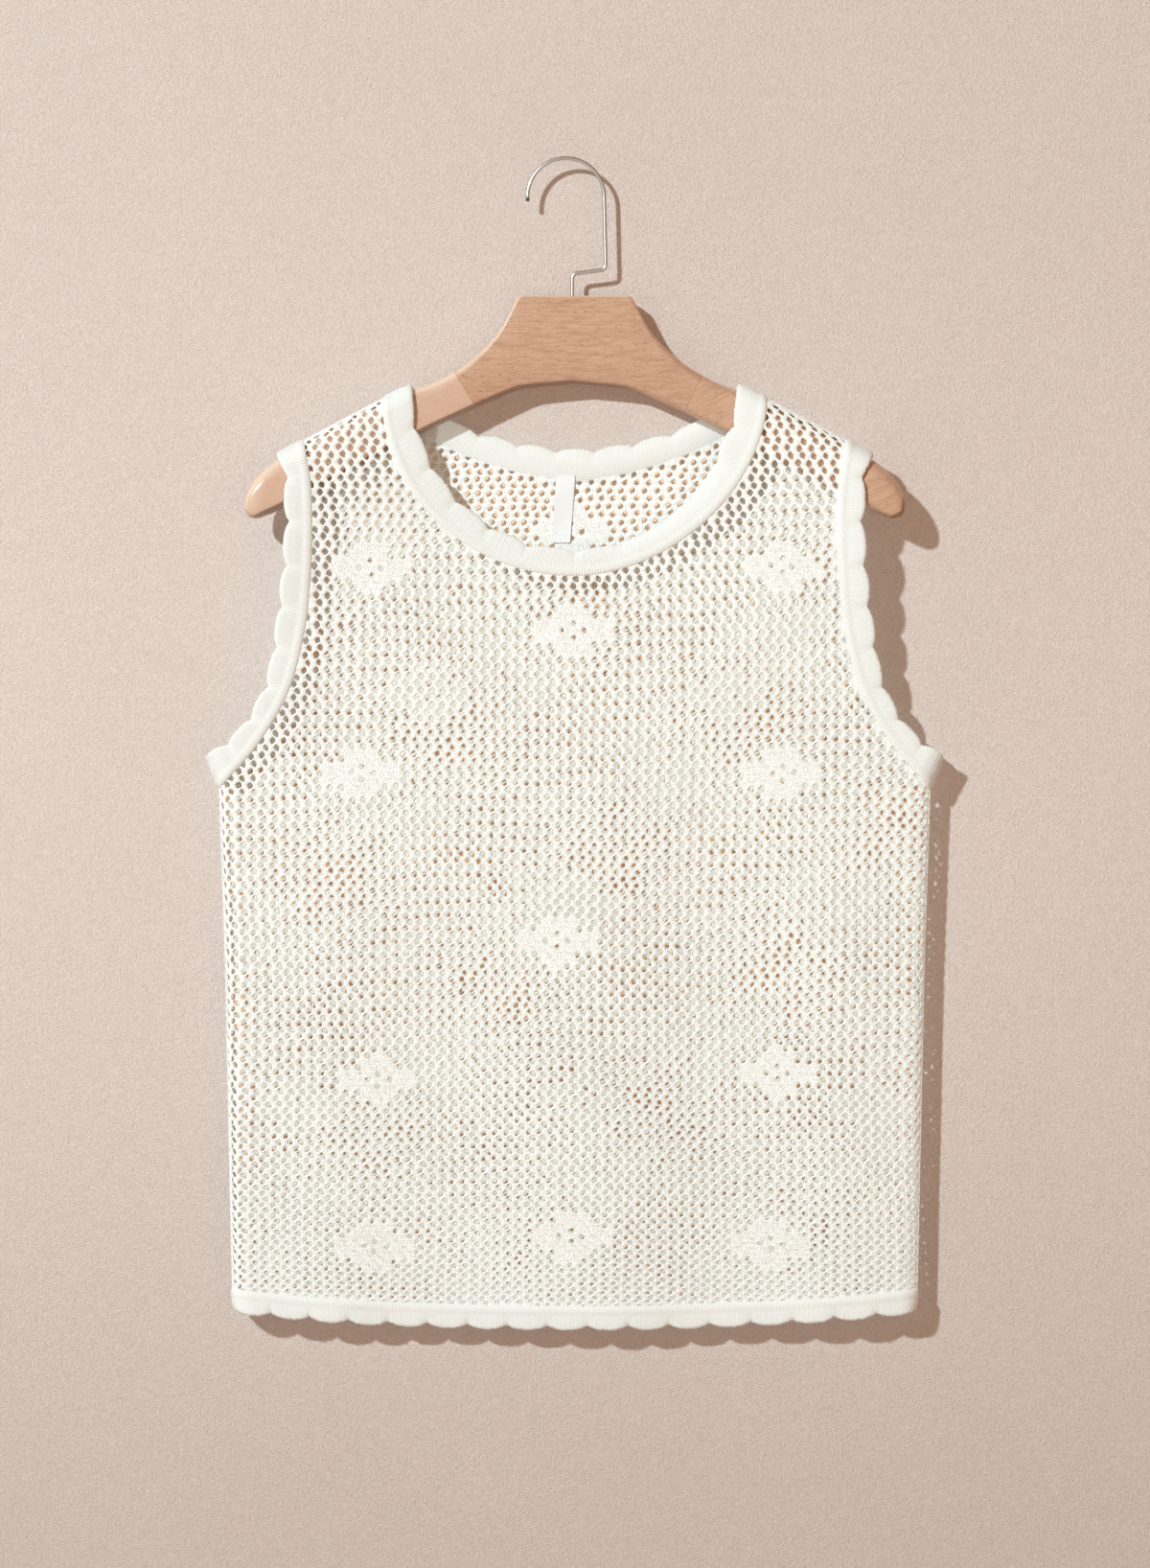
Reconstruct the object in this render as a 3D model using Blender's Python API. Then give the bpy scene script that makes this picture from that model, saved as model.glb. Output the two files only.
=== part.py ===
"""A sleeveless net-knit top with scalloped rib bands, hanging flat on a wooden clothes hanger.

The origin is the inner top of the steel hook, where a rail or peg carries it. +Z is up, the front
faces -Y and +X is the viewer's right. Lengths are in metres.

The cloth is worked out as a front and a back wall over one upright middle sheet. Each wall stands
clear of that sheet by a half depth that rounds away to nothing at the shoulder line and at the
side seams, so front and back meet there edge to edge.
"""

import math
from collections import namedtuple

import bmesh
import bpy
import numpy as np

# Place of the hanger and the top beside the hook's top, which carries them a little off centre.
HANGER_X = 0.0056

# Cloth
WALL = 0.0020
SEAM_GAP = 0.0003
BODY_HALF_DEPTH = 0.0080  # outer face to middle sheet, below the hanger
SIDE_ROUNDING = 0.0120  # how far in from a side seam the wall rounds away
FRONT, BACK = -1, 1
LEFT, RIGHT = -1, 1  # as the viewer sees them

# Shoulder line, as seen from the front
SHOULDER_X = 0.107
SHOULDER_Z = -0.1430
SHOULDER_SLOPE = 0.54
SHOULDER_COS = math.cos(math.atan(SHOULDER_SLOPE))

# The hanger's arms bend forward, and the cloth hangs back from them below.
ARM_TIP_X = 0.206
ARM_TIP_FORWARD = 0.0150
FORWARD_LEFT_BELOW = 0.27  # share of that bend that is left below the armholes
BEND_TOP, BEND_FOOT = -0.235, -0.390
ARM_CLEARANCE = 0.0008
ARM_HEIGHT = 0.030
ARM_FADE = 0.080  # below the arms, the half depth falls to the body's over this length

# Side seam from the hem to the armpit, then the armhole band's own seam out to its corner
SeamPoint = namedtuple("SeamPoint", "x z")
SIDE_SEAM = (
    SeamPoint(0.2137, -0.7400),
    SeamPoint(0.2140, -0.7000),
    SeamPoint(0.2182, -0.5000),
    SeamPoint(0.2220, -0.3926),
    SeamPoint(0.2294, -0.3766),
)
ARMPIT = SIDE_SEAM[3]

# Armhole, from the shoulder to the armpit: where the net ends, and the band's scalloped edge at
# the notches between its scallops
ArmholeRow = namedtuple("ArmholeRow", "net_x net_z edge_x edge_z")
ARMHOLE = (
    ArmholeRow(0.1695, -0.1768, 0.1828, -0.1839),
    ArmholeRow(0.1650, -0.2010, 0.1778, -0.2020),
    ArmholeRow(0.1638, -0.2300, 0.1772, -0.2300),
    ArmholeRow(0.1650, -0.2620, 0.1790, -0.2600),
    ArmholeRow(0.1686, -0.2939, 0.1828, -0.2905),
    ArmholeRow(0.1785, -0.3315, 0.1902, -0.3285),
    ArmholeRow(0.1978, -0.3650, 0.2066, -0.3578),
    ArmholeRow(0.2220, -0.3926, 0.2294, -0.3766),
)

# Neckline quarters: a superellipse that starts on the shoulder line. The power is 2 for an ellipse.
NECK_NET_X = 0.119
NECK_EDGE_X = 0.104
NeckQuarter = namedtuple("NeckQuarter", "net_bottom net_power edge_bottom edge_power")
NECK = {
    (FRONT, LEFT): NeckQuarter(-0.2600, 2.00, -0.2470, 2.00),
    (FRONT, RIGHT): NeckQuarter(-0.2600, 1.85, -0.2470, 1.80),
    (BACK, LEFT): NeckQuarter(-0.2000, 1.50, -0.1835, 1.70),
    (BACK, RIGHT): NeckQuarter(-0.2000, 1.50, -0.1835, 1.70),
}

# Hem, at the middle and how much higher at the sides
HEM_NET_Z = -0.7172
HEM_EDGE_Z = -0.7284
HEM_RISE = 0.0112
HEM_RISE_POWER = 2.3

# Scallops: how far they stand out past the notches, and how many fill each run of the edge
SCALLOP_RISE = 0.0032
SCALLOP_POWER = 2.5  # above 2, a scallop is flatter than a round arc
SCALLOP_STEPS = 4
HEM_SCALLOPS = 17
HEM_SKEW = 0.022  # the scallops lie a little to the viewer's left, as a share of half the width
# Runs of scallops from the shoulder to the middle of the neckline or to the armpit. The pitches
# are stretched together to fit the edge. An armhole has half a scallop each side of its shoulder.
Run = namedtuple("Run", "scallops pitch steps")
NECK_RUNS = {
    FRONT: (Run(1, 0.0320, 8), Run(4, 0.0252, 4), Run(1, 0.0285, 4)),
    BACK: (Run(1, 0.0310, 8), Run(1, 0.0310, 4), Run(2.5, 0.0246, 4)),
}
ARMHOLE_RUNS = (
    Run(0.5, 0.0480, 8),
    Run(2, 0.0270, 4),
    Run(3, 0.0252, 4),
    Run(2, 0.0222, 4),
    Run(1, 0.0200, 8),
)

# Bands: a rolled ridge beside the net, then flat rib
BAND_GAP = 0.0004  # seen from the front; less where the wall turns over the shoulder
BAND_RAISE = 0.0006
RIDGE_RAISE = 0.0013
RIDGE_TOP, RIDGE_FOOT = 0.0026, 0.0052  # from the net
CROWN_RAISE = 0.0009
# The right half of the front neck's free edge curls back, out of sight.
CURL_DEPTH = 0.0035
CURL_SCALLOPS = 0.25  # share of the scallops' rise that still shows there
CURL_TOP, CURL_FULL = -0.178, -0.205

# Soft folds: outward where rise is positive. lean is the step sideways for each metre down.
Fold = namedtuple("Fold", "x lean top foot width rise")
FOLDS = {
    FRONT: (
        Fold(-0.158, 0.02, -0.400, -0.760, 0.030, 0.0020),
        Fold(-0.070, -0.03, -0.470, -0.760, 0.042, -0.0022),
        Fold(0.018, 0.03, -0.360, -0.760, 0.036, 0.0016),
        Fold(0.098, -0.02, -0.340, -0.760, 0.040, -0.0024),
        Fold(0.168, 0.01, -0.450, -0.760, 0.028, 0.0020),
        Fold(-0.128, 0.25, -0.200, -0.345, 0.026, 0.0014),
        Fold(0.130, -0.22, -0.205, -0.360, 0.028, 0.0015),
    ),
    BACK: (
        Fold(-0.120, 0.02, -0.330, -0.760, 0.038, 0.0022),
        Fold(-0.030, 0.01, -0.420, -0.760, 0.044, -0.0020),
        Fold(0.062, -0.02, -0.300, -0.760, 0.036, 0.0021),
        Fold(0.145, 0.02, -0.410, -0.760, 0.034, -0.0018),
        Fold(-0.130, 0.30, -0.200, -0.330, 0.028, 0.0013),
        Fold(0.128, -0.28, -0.200, -0.340, 0.026, 0.0014),
    ),
}
FOLD_FADE = 0.070  # a fold rises and dies over this length

# Rows and columns of a panel's half. Its rows above the armpit end where the bands have sections:
# at each of the first few from the shoulder line and at the last two, and else at every second.
SHOULDER_ROWS = 5
BODY_ROWS = 12
ROUNDING_STEPS = 3
COLUMNS = 8
ARMPIT_ROW_MIDDLE = -0.350  # where the armpit's row meets the middle line

# Label on the inside of the back, hung from the neck band
LABEL_WALL = 0.0010
LABEL_LENGTH_STEPS = 5
LABEL_TOP, LABEL_FOOT = -0.1968, -0.2392
LABEL_TOP_X = (-0.0118, 0.0002)
LABEL_FOOT_X = (-0.0142, -0.0030)

# Hanger, half of it: top and bottom edges, half depth, and rounding of the top edge
HangerRow = namedtuple("HangerRow", "x top foot half_depth rounding")
HANGER_HOLDS_FROM = 0.107  # beyond this the top edge runs along under the shoulder line
HANGER = (
    HangerRow(0.0000, -0.0855, -0.1398, 0.0070, 0.0030),
    HangerRow(0.0335, -0.0855, -0.1432, 0.0070, 0.0030),
    HangerRow(0.0362, -0.0872, -0.1440, 0.0070, 0.0030),
    HangerRow(0.0385, -0.0918, -0.1448, 0.0070, 0.0032),
    HangerRow(0.0472, -0.1075, -0.1486, 0.0071, 0.0038),
    HangerRow(0.0600, -0.1212, -0.1542, 0.0072, 0.0050),
    HangerRow(0.0780, -0.1343, -0.1626, 0.0074, 0.0066),
    HangerRow(0.0930, -0.1415, -0.1698, 0.0076, 0.0076),
    HangerRow(0.1070, -0.1462, -0.1772, 0.0079, 0.0079),
    HangerRow(0.1250, -0.1559, -0.1872, 0.0083, 0.0083),
    HangerRow(0.1450, -0.1667, -0.1983, 0.0088, 0.0088),
    HangerRow(0.1650, -0.1775, -0.2094, 0.0094, 0.0094),
    HangerRow(0.1850, -0.1885, -0.2197, 0.0099, 0.0099),
    HangerRow(0.1925, -0.1942, -0.2232, 0.0098, 0.0098),
    HangerRow(0.1982, -0.2001, -0.2251, 0.0090, 0.0090),
    HangerRow(0.2026, -0.2068, -0.2243, 0.0074, 0.0074),
    HangerRow(0.2051, -0.2128, -0.2215, 0.0044, 0.0040),
)
HANGER_FOOT_ROUNDING = 0.0040
HANGER_CORNER_STEPS = 3

# Hook
WIRE_RADIUS = 0.0012
HOOK_RADIUS = 0.0240  # to the wire's middle
HOOK_ARC_STEPS = 18
HOOK_TIP_DROP = 0.0030
HOOK_KNEE = (0.0250, -0.0685)
HOOK_ELBOW = (0.0040, -0.0712)
HOOK_BEND = 0.0034
HOOK_BEND_STEPS = 4
STEM_FOOT = -0.0990
STEM_CLEARANCE = 0.0003
STEM_HOLE_FOOT = -0.0995

NUDGE_X, NUDGE_Z, STEP = 0.0006, 0.0002, 0.0001  # for reading slopes just inside a seam


# ---------------------------------------------------------------- small tools


def ease(t):
    t = np.clip(t, 0.0, 1.0)
    return t * t * (3 - 2 * t)


def spline(points, at):
    """Smooth curve through the points, read at places counted in points."""
    points = np.asarray(points, float)
    at = np.atleast_1d(np.asarray(at, float))
    index = np.clip(np.floor(at).astype(int), 0, len(points) - 2)
    t = (at - index)[:, None]
    first = 2 * points[0] - points[1]
    last = 2 * points[-1] - points[-2]
    padded = np.vstack([first, points, last])
    a, b, c, d = (padded[index + k] for k in range(4))
    return 0.5 * (2 * b + (c - a) * t + (2 * a - 5 * b + 4 * c - d) * t**2 + (3 * b - a - 3 * c + d) * t**3)


def table_at(rows, x):
    """A table's other columns at x, its first column, joined without overshoot."""
    table = np.asarray(rows, float)
    x = np.asarray(x, float)
    run = np.diff(table[:, 0])[:, None]
    rise = np.diff(table[:, 1:], axis=0) / run
    product = rise[:-1] * rise[1:]
    inner = np.where(product > 0, 2 * product / np.where(product > 0, rise[:-1] + rise[1:], 1), 0)
    slope = np.vstack([rise[:1], inner, rise[-1:]])
    i = np.clip(np.searchsorted(table[:, 0], x) - 1, 0, len(table) - 2)
    t = ((x - table[i, 0]) / run[i, 0])[..., None]
    low, high = table[i, 1:], table[i + 1, 1:]
    bend_in = t**3 - 2 * t**2 + t
    bend_out = t**3 - t**2
    return low + ease(t) * (high - low) + run[i] * (bend_in * slope[i] + bend_out * slope[i + 1])


def lengths_along(points):
    """Distance from the first point to each point of a curve."""
    steps = np.linalg.norm(np.diff(points, axis=0), axis=1)
    return np.concatenate([[0.0], np.cumsum(steps)])


# ---------------------------------------------------------------- form of the cloth


def shoulder_z(x):
    return SHOULDER_Z - SHOULDER_SLOPE * (np.abs(x) - SHOULDER_X)


def forward(x, z):
    """How far the middle sheet lies towards the back, which is less than nothing here."""
    kept = 1 - (1 - FORWARD_LEFT_BELOW) * ease((BEND_TOP - z) / (BEND_TOP - BEND_FOOT))
    return -ARM_TIP_FORWARD * (x / ARM_TIP_X) ** 2 * kept


def arm_half_depth(x):
    arms = [(row.x, row.half_depth) for row in HANGER if row.x <= 0.186]
    return table_at(arms, np.minimum(np.abs(x), 0.185))[..., 0]


def below_shoulder(x, z):
    return (shoulder_z(x) - z) * SHOULDER_COS


def inside_side_seam(x, z):
    x = np.abs(x)
    gaps = []
    for a, b in zip(SIDE_SEAM, SIDE_SEAM[1:]):
        along = ((x - a.x) * (b.x - a.x) + (z - a.z) * (b.z - a.z)) / ((b.x - a.x) ** 2 + (b.z - a.z) ** 2)
        along = np.clip(along, 0, 1)
        gaps.append(np.hypot(x - a.x - along * (b.x - a.x), z - a.z - along * (b.z - a.z)))
    return np.min(gaps, axis=0)


def rounding(distance, reach):
    """Square of a round edge's height, from 0 at the edge to 1 at its reach."""
    return 1 - (1 - np.clip(distance / reach, 0, 1)) ** 2


def edges_rounding(x, z):
    over_arm = arm_half_depth(x) + ARM_CLEARANCE + WALL
    return rounding(below_shoulder(x, z), over_arm) * rounding(inside_side_seam(x, z), SIDE_ROUNDING)


def depth_squared(x, z):
    """Square of a wall's distance from the middle sheet."""
    over_arm = arm_half_depth(x) + ARM_CLEARANCE + WALL
    fade = 1 - ease((below_shoulder(x, z) - ARM_HEIGHT) / ARM_FADE)
    half_depth = BODY_HALF_DEPTH + (over_arm - BODY_HALF_DEPTH) * fade
    return half_depth**2 * edges_rounding(x, z)


def fold_rise(side, x, z):
    total = np.zeros(np.broadcast(x, z).shape)
    for fold in FOLDS[side]:
        middle = fold.x + fold.lean * (fold.top - z)
        length = ease((fold.top + FOLD_FADE / 2 - z) / FOLD_FADE) * ease((z - fold.foot + FOLD_FADE / 2) / FOLD_FADE)
        total = total + fold.rise * length * np.exp(-(((x - middle) / fold.width) ** 2))
    return total * edges_rounding(x, z)


def middle_y(side, x, z):
    return forward(x, z) + side * fold_rise(side, x, z)


def wall_points(side, x, z, depth, seam=0.0):
    """Points of the front or back wall, seen at x, z from the front. depth is how far they lie in
    from the outer face, and seam moves the whole wall away from the middle sheet."""
    x, z = np.broadcast_arrays(np.asarray(x, float), np.asarray(z, float))
    rise = side * np.sqrt(np.maximum(depth_squared(x, z), 0))
    inner_x = x - np.sign(x) * NUDGE_X
    inner_z = z - NUDGE_Z

    def slopes(height):
        across = height(inner_x + STEP, inner_z) - height(inner_x - STEP, inner_z)
        up = height(inner_x, inner_z + STEP) - height(inner_x, inner_z - STEP)
        return across / (2 * STEP), up / (2 * STEP)

    depth_x, depth_z = slopes(depth_squared)
    middle_x, middle_z = slopes(lambda a, b: middle_y(side, a, b))
    normal = np.stack([-depth_x - 2 * rise * middle_x, 2 * rise, -depth_z - 2 * rise * middle_z], -1)
    normal /= np.linalg.norm(normal, axis=-1, keepdims=True)
    outer = np.stack([x, middle_y(side, x, z) + rise + side * seam, z], -1)
    return outer - normal * np.asarray(depth, float)[..., None]


# ---------------------------------------------------------------- lines of the pattern


def neck_point(side, hand, turn, free_edge=False):
    """Neckline at turn, 0 at the shoulder and 1 at the middle: the net's end or the free edge."""
    quarter = NECK[side, hand]
    width = NECK_EDGE_X if free_edge else NECK_NET_X
    bottom = quarter.edge_bottom if free_edge else quarter.net_bottom
    power = 2 / (quarter.edge_power if free_edge else quarter.net_power)
    angle = np.asarray(turn, float) * math.pi / 2
    top = shoulder_z(width)
    across = np.where(angle >= math.pi / 2, 0, np.cos(angle).clip(0) ** power)
    return np.stack([hand * width * across, top - (top - bottom) * np.sin(angle) ** power], -1)


def armhole_point(hand, at, free_edge=False):
    """Armhole at a place counted in ARMHOLE's rows."""
    points = [(r.edge_x, r.edge_z) if free_edge else (r.net_x, r.net_z) for r in ARMHOLE]
    return spline(points, at) * (hand, 1)


def side_point(z):
    line = np.array(SIDE_SEAM)
    return np.stack([np.interp(z, line[:, 1], line[:, 0]), z], -1)


def hem_z(x, middle_z):
    return middle_z + HEM_RISE * (np.abs(x) / SIDE_SEAM[0].x) ** HEM_RISE_POWER


def scallop_places(curve, most, runs, phase):
    """Places of a band's sections along its free edge, and each one's share of a scallop's rise."""
    at = np.linspace(0, most, 4001)
    path = lengths_along(curve(at))
    lengths, phases = [0.0], [phase]
    for run in runs:
        for _ in range(round(run.scallops * run.steps)):
            lengths.append(lengths[-1] + run.pitch / run.steps)
            phases.append(phases[-1] + 1 / run.steps)
    lengths = np.array(lengths) * path[-1] / lengths[-1]
    rises = 1 - np.abs(2 * (np.array(phases) % 1) - 1) ** SCALLOP_POWER
    return np.interp(lengths, path, at), rises


def neck_sections(side, hand):
    """Turns of the neck band's sections from the shoulder to the middle, and their rises."""

    def free_edge(turn):
        x, z = neck_point(side, hand, turn, free_edge=True).T
        return wall_points(side, x, z, 0.0)

    return scallop_places(free_edge, 1, NECK_RUNS[side], 0.0)


def armhole_sections(hand):
    """Places of an armhole band's sections from the shoulder to the armpit, and their rises."""

    def free_edge(at):
        x, z = armhole_point(hand, at, free_edge=True).T
        return wall_points(FRONT, x, z, 0.0)

    return scallop_places(free_edge, len(ARMHOLE) - 1, ARMHOLE_RUNS, 0.5)


def row_numbers(count):
    """Which of a band's sections have a row of the panel."""
    return [k for k in range(count) if k < SHOULDER_ROWS or k % 2 == 0 or k == count - 2]


def rows_among(places):
    return places[row_numbers(len(places))]


def panel_rows(side, hand):
    """Outer and inner ends of the rows of half a panel, from the shoulder to the hem."""
    armhole = armhole_point(hand, rows_among(armhole_sections(hand)[0]))
    body_z = np.linspace(ARMPIT.z, hem_z(SIDE_SEAM[0].x, HEM_NET_Z), BODY_ROWS + 1)[1:]
    outer = np.vstack([armhole, side_point(body_z) * (hand, 1)])
    neck = neck_point(side, hand, rows_among(neck_sections(side, hand)[0]))
    upper = np.linspace(neck[-1, 1], ARMPIT_ROW_MIDDLE, len(armhole) - len(neck) + 1)[1:]
    lower = np.linspace(ARMPIT_ROW_MIDDLE, HEM_NET_Z, BODY_ROWS + 1)[1:]
    middle_z = np.concatenate([upper, lower])
    inner = np.vstack([neck, np.stack([np.zeros_like(middle_z), middle_z], -1)])
    return outer, inner


# ---------------------------------------------------------------- mesh making


def add_object(name, mesh, material, parent, collection):
    mesh.materials.append(material)
    obj = bpy.data.objects.new(name, mesh)
    collection.objects.link(obj)
    obj.parent = parent
    return obj


def finish_mesh(name, bm, sharp_angle=math.radians(40)):
    bmesh.ops.recalc_face_normals(bm, faces=bm.faces)
    mesh = bpy.data.meshes.new(name)
    bm.to_mesh(mesh)
    bm.free()
    mesh.shade_smooth()
    mesh.set_sharp_from_angle(angle=sharp_angle)
    return mesh


def loft(name, sections, closed):
    """Mesh through sections of equally many points, as a ring or with flat ends."""
    bm = bmesh.new()
    rings = [[bm.verts.new(point) for point in section] for section in sections]
    pairs = list(zip(rings, rings[1:]))
    if closed:
        pairs.append((rings[-1], rings[0]))
    for one, other in pairs:
        for k in range(len(one)):
            bm.faces.new((one[k - 1], one[k], other[k], other[k - 1]))
    if not closed:
        bm.faces.new(rings[0])
        bm.faces.new(rings[-1])
    return finish_mesh(name, bm)


def shell(name, sheets):
    """Closed wall between the outer and inner points of sheets, which join where they meet."""
    bm = bmesh.new()
    for outer, inner in sheets:
        faces_of = []
        for points in (outer, inner):
            grid = [[bm.verts.new(point) for point in row] for row in points]
            faces_of.append(grid)
        rows, columns = len(outer), len(outer[0])
        for grid in faces_of:
            for i in range(rows - 1):
                for j in range(columns - 1):
                    bm.faces.new((grid[i][j], grid[i][j + 1], grid[i + 1][j + 1], grid[i + 1][j]))
    bmesh.ops.remove_doubles(bm, verts=bm.verts, dist=1e-6)
    # Outer and inner sheets were made in the same order, so their open edges pair up in order too.
    rim = [edge for edge in bm.edges if edge.is_boundary]
    bmesh.ops.bridge_loops(bm, edges=rim)
    return finish_mesh(name, bm)


# ---------------------------------------------------------------- cloth pieces


def half_sheet(side, hand):
    """Outer and inner points of half a panel, row by row from the side to the neck or middle."""
    outer_ends, inner_ends = panel_rows(side, hand)
    round_in = SIDE_ROUNDING * (1 - np.cos(np.linspace(0, math.pi / 2, ROUNDING_STEPS + 1)))
    flat_share = np.linspace(0, 1, COLUMNS + 1)[1:]
    places = []
    for outer, inner in zip(outer_ends, inner_ends):
        reach = np.linalg.norm(inner - outer)
        distances = np.concatenate([round_in, SIDE_ROUNDING + (reach - SIDE_ROUNDING) * flat_share])
        places.append(outer + (inner - outer) * (distances / reach)[:, None])
    places = np.array(places)
    x, z = places[..., 0], places[..., 1]
    half_gap = SEAM_GAP / 2
    return (
        wall_points(side, x, z, np.zeros_like(x), half_gap),
        wall_points(side, x, z, np.full_like(x, WALL), half_gap),
    )


def panel(name, side):
    return shell(name, [half_sheet(side, LEFT), half_sheet(side, RIGHT)])


def curl_share(side, x, z):
    if side != FRONT:
        return 0.0
    return float(ease((CURL_TOP - z) / (CURL_TOP - CURL_FULL)) * ease(x / 0.050))


def band_section(side, net, edge, rise, seam=0.0, curls=False):
    """Closed outline across a band, from the net out over its ridge to the free edge and back."""
    width = np.linalg.norm(edge - net)
    out = (edge - net) / width
    curl = curl_share(side, edge[0], edge[1]) if curls else 0.0
    free = width + SCALLOP_RISE * rise * (1 - (1 - CURL_SCALLOPS) * curl)
    tuck = CURL_DEPTH * curl
    outer = (
        (BAND_GAP, BAND_RAISE),
        (RIDGE_TOP, RIDGE_RAISE),
        (RIDGE_FOOT, BAND_RAISE),
        ((RIDGE_FOOT + free) / 2, CROWN_RAISE - tuck / 4),
        (free, BAND_RAISE - tuck),
    )
    inner = ((free, -WALL - tuck), (BAND_GAP, -WALL))
    points = []
    for distance, raised in outer + inner:
        x, z = net + out * distance
        points.append(wall_points(side, x, z, -raised, seam))
    return points


def band_quarter(side, places, rises, point, curls=False):
    """Sections of a band from the shoulder on, along one side of a ring. Where the panel has no
    row, the band's edge beside the net lies straight between its neighbours' edges, as the
    panel's own edge does."""
    sections = [
        band_section(side, point(at), point(at, True), rise, curls=curls)
        for at, rise in zip(places, rises)
    ]
    for index in set(range(len(sections))) - set(row_numbers(len(sections))):
        before, after = sections[index - 1], sections[index + 1]
        for corner in (0, -1):
            sections[index][corner] = (before[corner] + after[corner]) / 2
    return sections


def neck_quarter(side, hand):
    def point(turn, free_edge=False):
        return neck_point(side, hand, turn, free_edge)

    return band_quarter(side, *neck_sections(side, hand), point, curls=True)


def neck_band(name):
    sections = (
        neck_quarter(BACK, LEFT)[:0:-1]
        + neck_quarter(FRONT, LEFT)[:-1]
        + neck_quarter(FRONT, RIGHT)[:0:-1]
        + neck_quarter(BACK, RIGHT)[:-1]
    )
    return loft(name, sections, closed=True)


def armhole_band(name, hand):
    def point(at, free_edge=False):
        return armhole_point(hand, at, free_edge)[0]

    front = band_quarter(FRONT, *armhole_sections(hand), point)
    back = band_quarter(BACK, *armhole_sections(hand), point)
    return loft(name, front[:-1] + back[:0:-1], closed=True)


def hem_band(name, side):
    """Band along a panel's hem, from the viewer's left to right."""
    sections = []
    ends = [side_point(hem_z(SIDE_SEAM[0].x, middle))[0] for middle in (HEM_NET_Z, HEM_EDGE_Z)]
    count = HEM_SCALLOPS * SCALLOP_STEPS
    for k in range(count + 1):
        share = 2 * k / count - 1
        share -= HEM_SKEW * (1 - share**2)
        rise = 1 - abs(2 * (k / SCALLOP_STEPS % 1) - 1) ** SCALLOP_POWER
        net = np.array((ends[0] * share, hem_z(ends[0] * share, HEM_NET_Z)))
        edge = np.array((ends[1] * share, hem_z(ends[1] * share, HEM_EDGE_Z)))
        sections.append(band_section(side, net, edge, rise, seam=SEAM_GAP / 2))
    return loft(name, sections, closed=False)


def neck_label(name):
    """Strip that hangs from the neck band on the inside of the back."""
    shares = np.linspace(0, 1, LABEL_LENGTH_STEPS + 1)
    near, far = WALL + SEAM_GAP, WALL + SEAM_GAP + LABEL_WALL
    sections = []
    for share in shares:
        z = LABEL_TOP + (LABEL_FOOT - LABEL_TOP) * share
        left = LABEL_TOP_X[0] + (LABEL_FOOT_X[0] - LABEL_TOP_X[0]) * share
        right = LABEL_TOP_X[1] + (LABEL_FOOT_X[1] - LABEL_TOP_X[1]) * share
        corners = ((left, near), (right, near), (right, far), (left, far))
        sections.append([wall_points(BACK, x, z, depth) for x, depth in corners])
    return loft(name, sections, closed=False)


# ---------------------------------------------------------------- hanger


def hanger_section(x, top, foot, half_depth, top_rounding):
    """Upright outline across the hanger: a round top edge and softened lower edges."""
    y = float(forward(x, 0.0))
    upright = top_rounding * (1 + (1 / SHOULDER_COS - 1) * min(abs(x) / HANGER_HOLDS_FROM, 1))
    corners = (
        (1, foot, HANGER_FOOT_ROUNDING, HANGER_FOOT_ROUNDING, -1),
        (1, top, top_rounding, upright, 1),
        (-1, top, top_rounding, upright, 1),
        (-1, foot, HANGER_FOOT_ROUNDING, HANGER_FOOT_ROUNDING, -1),
    )
    points = []
    for back, level, across, up, above in corners:
        across = min(across, half_depth * 0.96)
        up = min(up, (top - foot) * 0.48)
        angles = np.linspace(0, math.pi / 2, HANGER_CORNER_STEPS + 1)
        if back * above < 0:
            angles = angles[::-1]
        for angle in angles:
            along_y = back * (half_depth - across * (1 - math.cos(angle)))
            along_z = level - above * up * (1 - math.sin(angle))
            points.append((x, y + along_y, along_z))
    return points


def hanger_body(name):
    stations = [row.x for row in HANGER]
    extra = [0.0165, 0.0305, 0.0440, 0.0540, 0.0690, 0.0855]
    half = sorted(stations + extra)
    xs = [-x for x in reversed(half[1:])] + half
    rows = table_at(HANGER, np.abs(xs))
    sections = [hanger_section(x, *values) for x, values in zip(xs, rows)]
    return loft(name, sections, closed=False)


def drill(obj, x, radius, foot, top, collection):
    """Blind hole down into the object, for the hook's stem."""
    bpy.ops.mesh.primitive_cylinder_add(vertices=16, radius=radius, depth=top - foot)
    cutter = bpy.context.object
    cutter.name = "stem_hole"
    cutter.location = (x, 0, (top + foot) / 2)
    cutter.hide_render = True
    cutter.display_type = "WIRE"
    for holder in list(cutter.users_collection):
        holder.objects.unlink(cutter)
    collection.objects.link(cutter)
    cut = obj.modifiers.new("stem hole", "BOOLEAN")
    cut.operation = "DIFFERENCE"
    cut.solver = "EXACT"
    cut.object = cutter


def bend_points(before, corner, after):
    """Points of a round bend at a corner between two straight runs."""
    before, corner, after = (np.array(point, float) for point in (before, corner, after))
    to_before = (before - corner) / np.linalg.norm(before - corner)
    to_after = (after - corner) / np.linalg.norm(after - corner)
    half_angle = math.acos(float(np.dot(to_before, to_after))) / 2
    reach = HOOK_BEND / math.tan(half_angle)
    start, end = corner + to_before * reach, corner + to_after * reach
    middle = corner + (to_before + to_after) / np.linalg.norm(to_before + to_after) * (
        HOOK_BEND / math.sin(half_angle)
    )
    first, last = start - middle, end - middle
    points = []
    for share in np.linspace(0, 1, HOOK_BEND_STEPS + 1):
        mixed = first * math.sin((1 - share) * (math.pi - 2 * half_angle)) + last * math.sin(
            share * (math.pi - 2 * half_angle)
        )
        points.append(middle + mixed / np.linalg.norm(mixed) * HOOK_BEND)
    return points


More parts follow.
